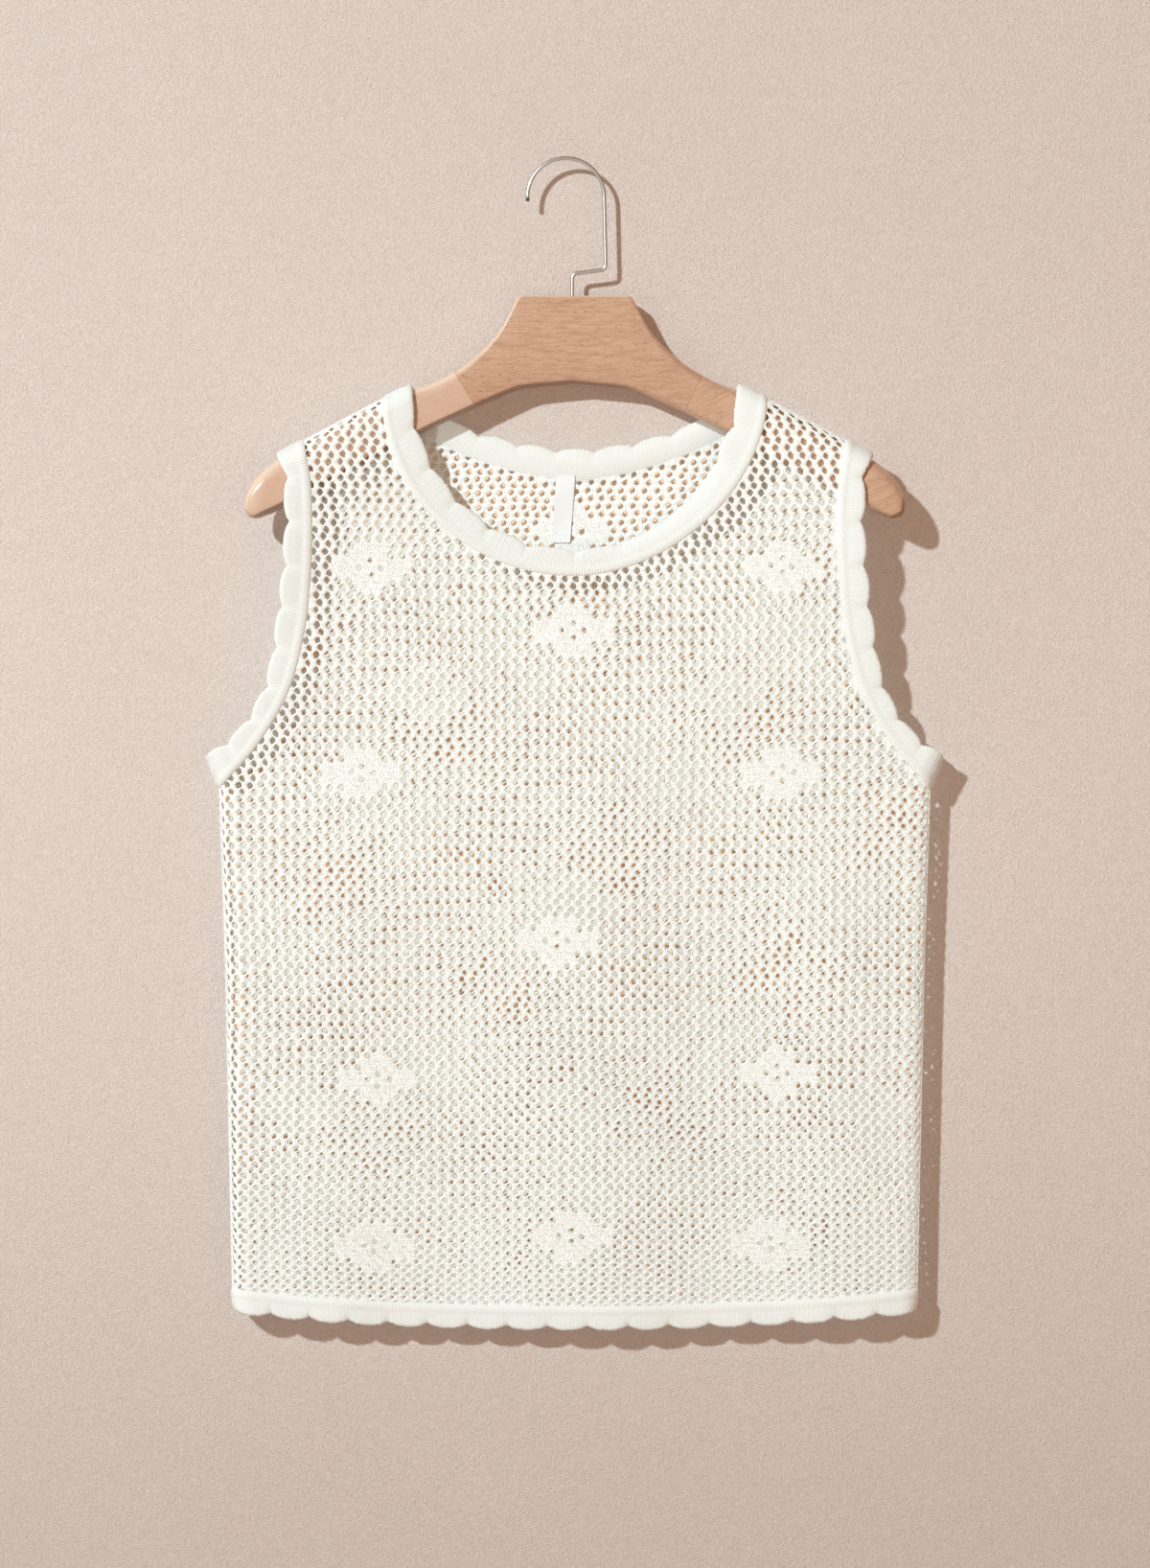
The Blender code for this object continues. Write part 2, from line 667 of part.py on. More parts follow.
def hook_route():
    """Middle line of the wire, from the stem's foot to the free tip, as x and z."""
    centre_z = -(HOOK_RADIUS - WIRE_RADIUS)
    stem_foot = (HOOK_ELBOW[0], STEM_FOOT)
    arc_start = (HOOK_RADIUS, centre_z)
    route = [np.array(stem_foot)]
    route += bend_points(stem_foot, HOOK_ELBOW, HOOK_KNEE)
    route += bend_points(HOOK_ELBOW, HOOK_KNEE, arc_start)
    for angle in np.linspace(0, math.pi, HOOK_ARC_STEPS + 1):
        route.append(np.array((HOOK_RADIUS * math.cos(angle), centre_z + HOOK_RADIUS * math.sin(angle))))
    route.append(np.array((-HOOK_RADIUS, centre_z - HOOK_TIP_DROP)))
    return route


def hook(name, material, collection):
    curve = bpy.data.curves.new(name, "CURVE")
    curve.dimensions = "3D"
    curve.bevel_depth = WIRE_RADIUS
    curve.bevel_resolution = 2
    curve.use_fill_caps = True
    wire = curve.splines.new("POLY")
    route = hook_route()
    wire.points.add(len(route) - 1)
    for point, (x, z) in zip(wire.points, route):
        point.co = (x, 0, z, 1)
    wire.use_smooth = True
    curve.materials.append(material)
    obj = bpy.data.objects.new(name, curve)
    collection.objects.link(obj)
    return obj


# ---------------------------------------------------------------- materials and assembly


def plain_material(name, colour, roughness, metallic=0.0):
    material = bpy.data.materials.new(name)
    material.use_nodes = True
    shader = material.node_tree.nodes["Principled BSDF"]
    shader.inputs["Base Color"].default_value = (*colour, 1)
    shader.inputs["Roughness"].default_value = roughness
    shader.inputs["Metallic"].default_value = metallic
    return material


def clear_scene():
    for obj in list(bpy.data.objects):
        bpy.data.objects.remove(obj, do_unlink=True)


def new_collection(name):
    collection = bpy.data.collections.new(name)
    bpy.context.scene.collection.children.link(collection)
    return collection


def main():
    clear_scene()
    parts = new_collection("net_top_on_hanger")
    cutters = new_collection("cutters")

    net = plain_material("net_knit", (0.84, 0.82, 0.74), 0.85)
    rib = plain_material("rib_knit", (0.88, 0.87, 0.81), 0.80)
    woven = plain_material("woven_label", (0.92, 0.92, 0.92), 0.55)
    beech = plain_material("beech", (0.66, 0.40, 0.25), 0.45)
    steel = plain_material("steel", (0.62, 0.61, 0.59), 0.28, metallic=1.0)

    centre = bpy.data.objects.new("hanger_centre", None)
    centre.location = (HANGER_X, 0, 0)
    parts.objects.link(centre)

    pieces = (
        ("front_panel", panel("front_panel", FRONT), net),
        ("back_panel", panel("back_panel", BACK), net),
        ("neck_band", neck_band("neck_band"), rib),
        ("armhole_band_left", armhole_band("armhole_band_left", LEFT), rib),
        ("armhole_band_right", armhole_band("armhole_band_right", RIGHT), rib),
        ("hem_band_front", hem_band("hem_band_front", FRONT), rib),
        ("hem_band_back", hem_band("hem_band_back", BACK), rib),
        ("neck_label", neck_label("neck_label"), woven),
        ("hanger", hanger_body("hanger"), beech),
    )
    made = {name: add_object(name, mesh, material, centre, parts) for name, mesh, material in pieces}
    hook("hanger_hook", steel, parts)
    drill(
        made["hanger"],
        HOOK_ELBOW[0],
        WIRE_RADIUS + STEM_CLEARANCE,
        STEM_HOLE_FOOT,
        HANGER[0].top + 0.004,
        cutters,
    )


main()
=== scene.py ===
"""Looks of a sleeveless net-knit top on a wooden hanger: fine knit, bands, wood, wire and light."""

import math
from collections import namedtuple
from functools import partial, partialmethod

import bmesh
import bpy
import numpy as np
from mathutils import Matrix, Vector


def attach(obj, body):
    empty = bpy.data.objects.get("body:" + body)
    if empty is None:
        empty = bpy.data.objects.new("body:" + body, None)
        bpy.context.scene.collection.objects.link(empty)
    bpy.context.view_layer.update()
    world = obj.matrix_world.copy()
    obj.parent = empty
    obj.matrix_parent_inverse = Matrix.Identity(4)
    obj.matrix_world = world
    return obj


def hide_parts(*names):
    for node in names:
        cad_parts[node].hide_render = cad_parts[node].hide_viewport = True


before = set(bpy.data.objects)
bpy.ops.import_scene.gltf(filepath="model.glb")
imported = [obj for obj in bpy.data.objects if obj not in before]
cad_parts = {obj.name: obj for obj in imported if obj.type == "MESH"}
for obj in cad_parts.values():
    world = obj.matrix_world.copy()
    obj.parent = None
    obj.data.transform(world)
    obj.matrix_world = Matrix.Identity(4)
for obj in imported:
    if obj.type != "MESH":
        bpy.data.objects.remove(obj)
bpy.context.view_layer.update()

# ---------------------------------------------------------------- sizes shared with the solids

HANGER_X = 0.0056
WALL = 0.0020
SEAM_GAP = 0.0003
BODY_HALF_DEPTH = 0.0080
SIDE_ROUNDING = 0.0120
FRONT, BACK = -1, 1
LEFT, RIGHT = -1, 1
SHOULDER_X = 0.107
SHOULDER_Z = -0.1430
SHOULDER_SLOPE = 0.54
SHOULDER_COS = math.cos(math.atan(SHOULDER_SLOPE))
ARM_TIP_X = 0.206
ARM_TIP_FORWARD = 0.0150
FORWARD_LEFT_BELOW = 0.27
BEND_TOP, BEND_FOOT = -0.235, -0.390
ARM_CLEARANCE = 0.0008
ARM_HEIGHT = 0.030
ARM_FADE = 0.080
SIDE_SEAM = ((0.2137, -0.7400), (0.2140, -0.7000), (0.2182, -0.5000), (0.2220, -0.3926), (0.2294, -0.3766))
ARMPIT_Z = SIDE_SEAM[3][1]
ARMHOLE = (  # net_x net_z edge_x edge_z
    (0.1695, -0.1768, 0.1828, -0.1839),
    (0.1650, -0.2010, 0.1778, -0.2020),
    (0.1638, -0.2300, 0.1772, -0.2300),
    (0.1650, -0.2620, 0.1790, -0.2600),
    (0.1686, -0.2939, 0.1828, -0.2905),
    (0.1785, -0.3315, 0.1902, -0.3285),
    (0.1978, -0.3650, 0.2066, -0.3578),
    (0.2220, -0.3926, 0.2294, -0.3766),
)
NECK_NET_X = 0.119
NECK_EDGE_X = 0.104
NECK = {  # net_bottom net_power edge_bottom edge_power
    (FRONT, LEFT): (-0.2600, 2.00, -0.2470, 2.00),
    (FRONT, RIGHT): (-0.2600, 1.85, -0.2470, 1.80),
    (BACK, LEFT): (-0.2000, 1.50, -0.1835, 1.70),
    (BACK, RIGHT): (-0.2000, 1.50, -0.1835, 1.70),
}
HEM_NET_Z = -0.7172
HEM_EDGE_Z = -0.7284
HEM_RISE = 0.0112
HEM_RISE_POWER = 2.3
SCALLOP_RISE = 0.0032
SCALLOP_POWER = 2.5
HEM_SCALLOPS = 17
HEM_SKEW = 0.022
NECK_RUNS = {  # scallops pitch
    FRONT: ((1, 0.0320), (4, 0.0252), (1, 0.0285)),
    BACK: ((1, 0.0310), (1, 0.0310), (2.5, 0.0246)),
}
ARMHOLE_RUNS = ((0.5, 0.0480), (2, 0.0270), (3, 0.0252), (2, 0.0222), (1, 0.0200))
CURL_DEPTH = 0.0035
CURL_SCALLOPS = 0.25
CURL_TOP, CURL_FULL = -0.178, -0.205
Fold = namedtuple("Fold", "x lean top foot width rise")
FOLDS = {
    FRONT: (
        Fold(-0.158, 0.02, -0.400, -0.760, 0.030, 0.0020),
        Fold(-0.070, -0.03, -0.470, -0.760, 0.042, -0.0022),
        Fold(0.018, 0.03, -0.360, -0.760, 0.036, 0.0016),
        Fold(0.098, -0.02, -0.340, -0.760, 0.040, -0.0024),
        Fold(0.168, 0.01, -0.450, -0.760, 0.028, 0.0020),
        Fold(-0.128, 0.25, -0.200, -0.345, 0.026, 0.0014),
        Fold(0.130, -0.22, -0.205, -0.360, 0.028, 0.0015),
    ),
    BACK: (
        Fold(-0.120, 0.02, -0.330, -0.760, 0.038, 0.0022),
        Fold(-0.030, 0.01, -0.420, -0.760, 0.044, -0.0020),
        Fold(0.062, -0.02, -0.300, -0.760, 0.036, 0.0021),
        Fold(0.145, 0.02, -0.410, -0.760, 0.034, -0.0018),
        Fold(-0.130, 0.30, -0.200, -0.330, 0.028, 0.0013),
        Fold(0.128, -0.28, -0.200, -0.340, 0.026, 0.0014),
    ),
}
FOLD_FADE = 0.070
HANGER = (  # x top foot half_depth rounding
    (0.0000, -0.0855, -0.1398, 0.0070, 0.0030),
    (0.0335, -0.0855, -0.1432, 0.0070, 0.0030),
    (0.0362, -0.0872, -0.1440, 0.0070, 0.0030),
    (0.0385, -0.0918, -0.1448, 0.0070, 0.0032),
    (0.0472, -0.1075, -0.1486, 0.0071, 0.0038),
    (0.0600, -0.1212, -0.1542, 0.0072, 0.0050),
    (0.0780, -0.1343, -0.1626, 0.0074, 0.0066),
    (0.0930, -0.1415, -0.1698, 0.0076, 0.0076),
    (0.1070, -0.1462, -0.1772, 0.0079, 0.0079),
    (0.1250, -0.1559, -0.1872, 0.0083, 0.0083),
    (0.1450, -0.1667, -0.1983, 0.0088, 0.0088),
    (0.1650, -0.1775, -0.2094, 0.0094, 0.0094),
    (0.1850, -0.1885, -0.2197, 0.0099, 0.0099),
    (0.1925, -0.1942, -0.2232, 0.0098, 0.0098),
    (0.1982, -0.2001, -0.2251, 0.0090, 0.0090),
    (0.2026, -0.2068, -0.2243, 0.0074, 0.0074),
    (0.2051, -0.2128, -0.2215, 0.0044, 0.0040),
)
HANGER_HOLDS_FROM = 0.107
WIRE_RADIUS = 0.0012
HOOK_RADIUS = 0.0240
HOOK_TIP_DROP = 0.0030
HOOK_KNEE = (0.0250, -0.0685)
HOOK_ELBOW = (0.0040, -0.0712)
HOOK_BEND = 0.0034
HOOK_TIP = ((0.0008, 1.0), (0.00035, 0.93), (0.0001, 0.75), (0.0, 0.45))  # from its end, and share of the width
STEM_FOOT = -0.0990
LABEL_TOP, LABEL_FOOT = -0.1968, -0.2392
LABEL_TOP_X = (-0.0118, 0.0002)
LABEL_FOOT_X = (-0.0142, -0.0030)
LABEL_WALL = 0.0010
NUDGE_X, NUDGE_Z, STEP = 0.0006, 0.0002, 0.0001

# ---------------------------------------------------------------- sizes of the knit

# Heights down the cloth, and the height of a row of holes at each of them
ROWS_AT = (-0.140, -0.270, -0.320, -0.440, -0.530, -0.640, -0.695, -0.720)
ROW_HEIGHT = (0.00470, 0.00462, 0.00441, 0.00414, 0.00402, 0.00375, 0.00290, 0.00270)
# Rows are of two kinds in turn, each with its holes' half width, half height and lean in degrees
HOLE_WIDTH = (
    (0.00192, 0.00192, 0.00184, 0.00172, 0.00156, 0.00126, 0.00095, 0.00085),
    (0.00170, 0.00164, 0.00156, 0.00144, 0.00128, 0.00108, 0.00080, 0.00070),
)
HOLE_HEIGHT = (
    (0.00238, 0.00246, 0.00240, 0.00232, 0.00232, 0.00228, 0.00165, 0.00150),
    (0.00242, 0.00248, 0.00240, 0.00232, 0.00232, 0.00228, 0.00165, 0.00150),
)
HOLE_LEAN = ((-2, 4, 16, 24, 34, 42, 44, 44), (-24, -26, -26, -28, -36, -44, -48, -48))
PITCH_AT = (-0.160, -0.300, -0.720)
PITCH = (0.00726, 0.00684, 0.00681)
PHASE = 0.0006
BACK_SCALE = 1.007  # the back net's knit against the front's, about the height BACK_FROM
BACK_FROM = -0.39
BACK_ASIDE = (-0.0018, 0.0021)
LATTICE_TOP, LATTICE_FOOT = -0.1355, -0.7225
COLUMNS = 151  # of the lattice, two for each cell
ZIGZAG = -0.19  # how far every other row lies to one side of its even place, as a share of the pitch
JOINT = 0.17  # a strand joint's height, as a share of a row's
RING = 8  # corners of a hole
STITCHES = 12  # round a hole
HOLE_DEPTH = 0.0010
STRAND_DEPTH = 0.00030
SOFTNESS = 0.30  # how far the loose yarn evens out its own shading
NET_EDGE_INSET = 0.0008
NET_EDGE_NEAR = 0.0060
EYE = (0.00140, 0.00165, -10.0)  # half width, half height and lean of a flower's eyes
FRONT_JITTER, BACK_JITTER = 0.00012, 0.00034  # how far holes stray from their places
BACK_TOP_FOOT = 0.235  # the height down to which the back net, seen in the neckline, has even holes:
BACK_TOP = (0.00158, 0.00250, np.radians(44), 0.00008)  # their half width, half height, lean and jitter
CORNER_JITTER, MIDDLE_JITTER = 0.00013, 0.00010
SIDE_ARC = 0.015865  # length of the cloth that rounds over a side seam

# ---------------------------------------------------------------- light, wall and camera

LIGHTS_AIM = Vector((0.0, 0.0, -0.40))
KEY_POWER = 241
KEY_AT = LIGHTS_AIM + 5.0 * Vector((-0.70, -1.0, 0.60)).normalized()
KEY_SIZE = 0.22
KEY_COLOUR = (0.80, 0.945, 1.0)
# The key's lamps stand a little apart: from one point, Cycles gives linked lamps uneven shares.
KEY_STEP = Vector((0.004, 0.003, 0.002))
THROUGH_YARN = 0.76  # share of the key light that the front net lets through to the knit
THROUGH_TO_WOOD = 0.50
THROUGH_TO_SHADE = 0.17
CAMERA_DISTANCE = 2.35
VIEW_HEIGHT = 0.9816  # what the camera sees of the plane of the hook
WALL_Y, WALL_TOP = 0.0126, 2.2
FLOOR_Z, FLOOR_DEPTH, ROOM = -1.03, 5.0, 3.5
SHADE_INSET, SHADE_LIFT = 0.002, 0.0002
YARN_SHEEN = {"Sheen_Weight": 0.12, "Sheen_Roughness": 0.5}
FUZZ = 1800  # scale of the yarn's fluff
LABEL_WARP, LABEL_WEFT = 0.00035, 0.00028

# Flowers: places of their middles, as seen from the front
FRONT_FLOWERS = (
    (-0.1284, -0.2580), (0.1278, -0.2580), (0.0006, -0.2928),
    (-0.1296, -0.3870), (0.1314, -0.3870), (-0.0072, -0.4908),
    (-0.1254, -0.5718), (0.1236, -0.5688),
    (-0.1254, -0.6780), (-0.0006, -0.6756), (0.1236, -0.6768),
)
BACK_FLOWERS = (
    (0.0018, -0.2358), (0.1896, -0.5928), (-0.1750, -0.5928), (0.0080, -0.5900),
    (-0.0950, -0.3400), (0.0950, -0.3400), (0.0050, -0.4650),
    (-0.1000, -0.6900), (0.1000, -0.6900),
)
PETALS = (  # x z half_width half_height
    (0, 0.0112, 0.0102, 0.0050),
    (0, -0.0112, 0.0108, 0.0056),
    (-0.0165, 0, 0.0078, 0.0074),
    (0.0165, 0, 0.0078, 0.0074),
)
CELL_REACH = 0.0042  # of a cell from its middle
CLOSED_OVER_SHOULDER = 0.0045  # width of the closed strip beside a shoulder seam
MOVE_FADE = 3.2  # pitches over which the rows beside a flower's middle come back to their places


# ---------------------------------------------------------------- form of the cloth


def ease(t):
    t = np.clip(t, 0.0, 1.0)
    return t * t * (3 - 2 * t)


def spline(points, at):
    """Smooth curve through the points, read at places counted in points."""
    points = np.asarray(points, float)
    at = np.atleast_1d(np.asarray(at, float))
    index = np.clip(np.floor(at).astype(int), 0, len(points) - 2)
    t = (at - index)[:, None]
    padded = np.vstack([2 * points[0] - points[1], points, 2 * points[-1] - points[-2]])
    a, b, c, d = (padded[index + k] for k in range(4))
    return 0.5 * (2 * b + (c - a) * t + (2 * a - 5 * b + 4 * c - d) * t**2 + (3 * b - a - 3 * c + d) * t**3)


def table_at(rows, x):
    """A table's other columns at x, its first column, joined without overshoot."""
    table = np.asarray(rows, float)
    x = np.asarray(x, float)
    run = np.diff(table[:, 0])[:, None]
    rise = np.diff(table[:, 1:], axis=0) / run
    product = rise[:-1] * rise[1:]
    inner = np.where(product > 0, 2 * product / np.where(product > 0, rise[:-1] + rise[1:], 1), 0)
    slope = np.vstack([rise[:1], inner, rise[-1:]])
    i = np.clip(np.searchsorted(table[:, 0], x) - 1, 0, len(table) - 2)
    t = ((x - table[i, 0]) / run[i, 0])[..., None]
    low, high = table[i, 1:], table[i + 1, 1:]
    bend_in = t**3 - 2 * t**2 + t
    bend_out = t**3 - t**2
    return low + ease(t) * (high - low) + run[i] * (bend_in * slope[i] + bend_out * slope[i + 1])


def lengths_along(points):
    steps = np.linalg.norm(np.diff(points, axis=0), axis=1)
    return np.concatenate([[0.0], np.cumsum(steps)])


def shoulder_z(x):
    return SHOULDER_Z - SHOULDER_SLOPE * (np.abs(x) - SHOULDER_X)


def forward(x, z):
    kept = 1 - (1 - FORWARD_LEFT_BELOW) * ease((BEND_TOP - z) / (BEND_TOP - BEND_FOOT))
    return -ARM_TIP_FORWARD * (x / ARM_TIP_X) ** 2 * kept


def arm_half_depth(x):
    arms = [(row[0], row[3]) for row in HANGER if row[0] <= 0.186]
    return table_at(arms, np.minimum(np.abs(x), 0.185))[..., 0]


def over_arm(x):
    return arm_half_depth(x) + ARM_CLEARANCE + WALL


def below_shoulder(x, z):
    return (shoulder_z(x) - z) * SHOULDER_COS


def inside_side_seam(x, z):
    x = np.abs(x)
    gaps = []
    for (ax, az), (bx, bz) in zip(SIDE_SEAM, SIDE_SEAM[1:]):
        along = ((x - ax) * (bx - ax) + (z - az) * (bz - az)) / ((bx - ax) ** 2 + (bz - az) ** 2)
        along = np.clip(along, 0, 1)
        gaps.append(np.hypot(x - ax - along * (bx - ax), z - az - along * (bz - az)))
    return np.min(gaps, axis=0)


def rounding(distance, reach):
    return 1 - (1 - np.clip(distance / reach, 0, 1)) ** 2


def edges_rounding(x, z):
    return rounding(below_shoulder(x, z), over_arm(x)) * rounding(inside_side_seam(x, z), SIDE_ROUNDING)


def depth_squared(x, z):
    fade = 1 - ease((below_shoulder(x, z) - ARM_HEIGHT) / ARM_FADE)
    half_depth = BODY_HALF_DEPTH + (over_arm(x) - BODY_HALF_DEPTH) * fade
    return half_depth**2 * edges_rounding(x, z)


def fold_rise(side, x, z):
    total = np.zeros(np.broadcast(x, z).shape)
    for fold in FOLDS[side]:
        middle = fold.x + fold.lean * (fold.top - z)
        length = ease((fold.top + FOLD_FADE / 2 - z) / FOLD_FADE) * ease((z - fold.foot + FOLD_FADE / 2) / FOLD_FADE)
        total = total + fold.rise * length * np.exp(-(((x - middle) / fold.width) ** 2))
    return total * edges_rounding(x, z)


def middle_y(side, x, z):
    return forward(x, z) + side * fold_rise(side, x, z)


def wall_points(side, x, z, depth, seam=0.0):
    """Points of the front or back wall, seen at x, z from the front. depth is how far they lie in
    from the outer face, and seam moves the whole wall away from the middle sheet."""
    x, z = np.broadcast_arrays(np.asarray(x, float), np.asarray(z, float))
    rise = side * np.sqrt(np.maximum(depth_squared(x, z), 0))
    inner_x = x - np.sign(x) * NUDGE_X
    inner_z = z - NUDGE_Z

    def slopes(height):
        across = height(inner_x + STEP, inner_z) - height(inner_x - STEP, inner_z)
        up = height(inner_x, inner_z + STEP) - height(inner_x, inner_z - STEP)
        return across / (2 * STEP), up / (2 * STEP)

    depth_x, depth_z = slopes(depth_squared)
    middle_x, middle_z = slopes(lambda a, b: middle_y(side, a, b))
    normal = np.stack([-depth_x - 2 * rise * middle_x, 2 * rise, -depth_z - 2 * rise * middle_z], -1)
    outer = np.stack([x, middle_y(side, x, z) + rise + side * seam, z], -1)
    return outer - unit(normal) * np.asarray(depth, float)[..., None]


def neck_point(side, hand, turn, free_edge=False):
    net_bottom, net_power, edge_bottom, edge_power = NECK[side, hand]
    width = NECK_EDGE_X if free_edge else NECK_NET_X
    bottom = edge_bottom if free_edge else net_bottom
    power = 2 / (edge_power if free_edge else net_power)
    angle = np.asarray(turn, float) * math.pi / 2
    top = shoulder_z(width)
    across = np.where(angle >= math.pi / 2, 0, np.cos(angle).clip(0) ** power)
    return np.stack([hand * width * across, top - (top - bottom) * np.sin(angle) ** power], -1)


def armhole_point(hand, at, free_edge=False):
    points = [(r[2], r[3]) if free_edge else (r[0], r[1]) for r in ARMHOLE]
    return spline(points, at) * (hand, 1)


def side_x(z):
    line = np.array(SIDE_SEAM)
    return np.interp(z, line[:, 1], line[:, 0])


def hem_z(x, middle_z):
    return middle_z + HEM_RISE * (np.abs(x) / SIDE_SEAM[0][0]) ** HEM_RISE_POWER


# ---------------------------------------------------------------- flat cloth to hung cloth


def unroll_share(z):
    """How much of the side's rounding is laid flat at a height: all of it below the armpit."""
    return ease((ARMPIT_Z + 0.014 - z) / 0.012)


def hang(points):
    """Places seen from the front of points on the flat cloth, which is rolled over its shoulder
    line and side seams."""
    x, z = points[:, 0].copy(), points[:, 1].copy()
    hand = np.sign(x)
    start = side_x(z) - SIDE_ROUNDING
    t = np.maximum(np.abs(x) - start, 0)
    rolled = SIDE_ROUNDING * np.sin(np.clip(t / SIDE_ARC, 0, 1) * math.pi / 2)
    share = unroll_share(z)
    x = np.where(t > 0, hand * (start + rolled * share + t * (1 - share)), x)
    reach = over_arm(x)
    below = below_shoulder(x, z)
    t = np.maximum(reach - below, 0)
    rolled = reach * (1 - np.sin(np.clip(t / reach, 0, math.pi / 2)))
    shift = np.where(t > 0, rolled - below, 0)
    return np.stack([x - hand * SHOULDER_SLOPE * SHOULDER_COS * shift, z - SHOULDER_COS * shift], -1)


def lay_flat(points):
    """The reverse of hang."""
    x, z = points[:, 0].copy(), points[:, 1].copy()
    hand = np.sign(x)
    reach = over_arm(x)
    below = below_shoulder(x, z)
    t = np.where(below < reach, reach * np.arcsin(np.clip(1 - below / reach, 0, 1)), 0)
    shift = np.where(below < reach, t - (reach - below), 0)
    x = x + hand * SHOULDER_SLOPE * SHOULDER_COS * shift
    z = z + SHOULDER_COS * shift
    start = side_x(z) - SIDE_ROUNDING
    beyond = np.maximum(np.abs(x) - start, 0)
    t = SIDE_ARC * np.arcsin(np.clip(beyond / SIDE_ROUNDING, 0, 1)) / (math.pi / 2)
    share = unroll_share(z)
    x = np.where(beyond > 0, hand * (start + t * share + beyond * (1 - share)), x)
    return np.stack([x, z], -1)


def net_outline(side):
    """Flat outline of a panel's net, all round from the left shoulder's neck end."""
    turns = np.linspace(0, 1, 60)
    ats = np.linspace(0, len(ARMHOLE) - 1, 60)
    downs = np.linspace(ARMPIT_Z, hem_z(SIDE_SEAM[0][0], HEM_NET_Z), 50)[1:]
    across = np.linspace(1, -1, 80)[1:-1] * side_x(downs[-1])
    right = [neck_point(side, RIGHT, turns[::-1]), armhole_point(RIGHT, ats), np.stack([side_x(downs), downs], -1)]
    left = [
        np.stack([-side_x(downs[::-1]), downs[::-1]], -1),
        armhole_point(LEFT, ats[::-1]),
        neck_point(side, LEFT, turns[:-1]),
    ]
    hem = [np.stack([across, hem_z(across, HEM_NET_Z)], -1)]
    return lay_flat(np.vstack(right + hem + left))


def to_outline(points, outline):
    """Each point's distance inside an outline, less than nothing outside, and nearest point on it."""
    a, b = outline, np.roll(outline, -1, axis=0)
    along = b - a
    inside = np.empty(len(points))
    nearest = np.empty_like(points)
    for start in range(0, len(points), 4000):
        p = points[start : start + 4000, None]
        t = np.clip(((p - a) * along).sum(-1) / (along**2).sum(-1), 0, 1)
        foot = a + along * t[..., None]
        gap = np.linalg.norm(p - foot, axis=-1)
        best = gap.argmin(1)
        rows = np.arange(len(best))
        crosses = (a[:, 1] > p[..., 1]) != (b[:, 1] > p[..., 1])
        with np.errstate(divide="ignore", invalid="ignore"):
            at = a[:, 0] + (p[..., 1] - a[:, 1]) * along[:, 0] / along[:, 1]
        within = (crosses & (p[..., 0] < at)).sum(1) % 2 == 1
        inside[start : start + 4000] = np.where(within, 1, -1) * gap[rows, best]
        nearest[start : start + 4000] = foot[rows, best]
    return inside, nearest


# ---------------------------------------------------------------- mesh making


def knit_mesh(name, points, faces, uvs, normals=None, values=None):
    """Mesh of triangles with a UV for each corner, and named numbers for each point."""
    mesh = bpy.data.meshes.new(name)
    mesh.vertices.add(len(points))
    mesh.vertices.foreach_set("co", points.astype(np.float32).ravel())
    mesh.loops.add(faces.size)
    mesh.loops.foreach_set("vertex_index", faces.astype(np.int32).ravel())
    mesh.polygons.add(len(faces))
    mesh.polygons.foreach_set("loop_start", np.arange(0, faces.size, 3, dtype=np.int32))
    layer = mesh.uv_layers.new(name="knit")
    layer.data.foreach_set("uv", uvs.astype(np.float32).ravel())
    for key, numbers in (values or {}).items():
        attribute = mesh.attributes.new(key, "FLOAT", "POINT")
        attribute.data.foreach_set("value", numbers.astype(np.float32))
    mesh.update(calc_edges=True)
    mesh.shade_smooth()
    if normals is not None:
        mesh.normals_split_custom_set(normals.reshape(-1, 3).tolist())
    return mesh


def unit(vectors):
    return vectors / np.maximum(np.linalg.norm(vectors, axis=-1, keepdims=True), 1e-12)


def point_normals(points, faces):
    a, b, c = (points[faces[:, k]] for k in range(3))
    normals = np.zeros_like(points)
    for k in range(3):
        np.add.at(normals, faces[:, k], np.cross(b - a, c - a))
    return unit(normals)


def add_object(name, data):
    obj = bpy.data.objects.new(name, data)
    bpy.context.scene.collection.objects.link(obj)
    return obj


def place(name, mesh, material, replaced=None):
    """A piece of the mesh, which rides on the part's one body and may replace a node."""
    mesh.materials.append(material)
    obj = add_object(name, mesh)
    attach(obj, "root")
    if replaced:
        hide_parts(replaced)
    return obj


# ---------------------------------------------------------------- net


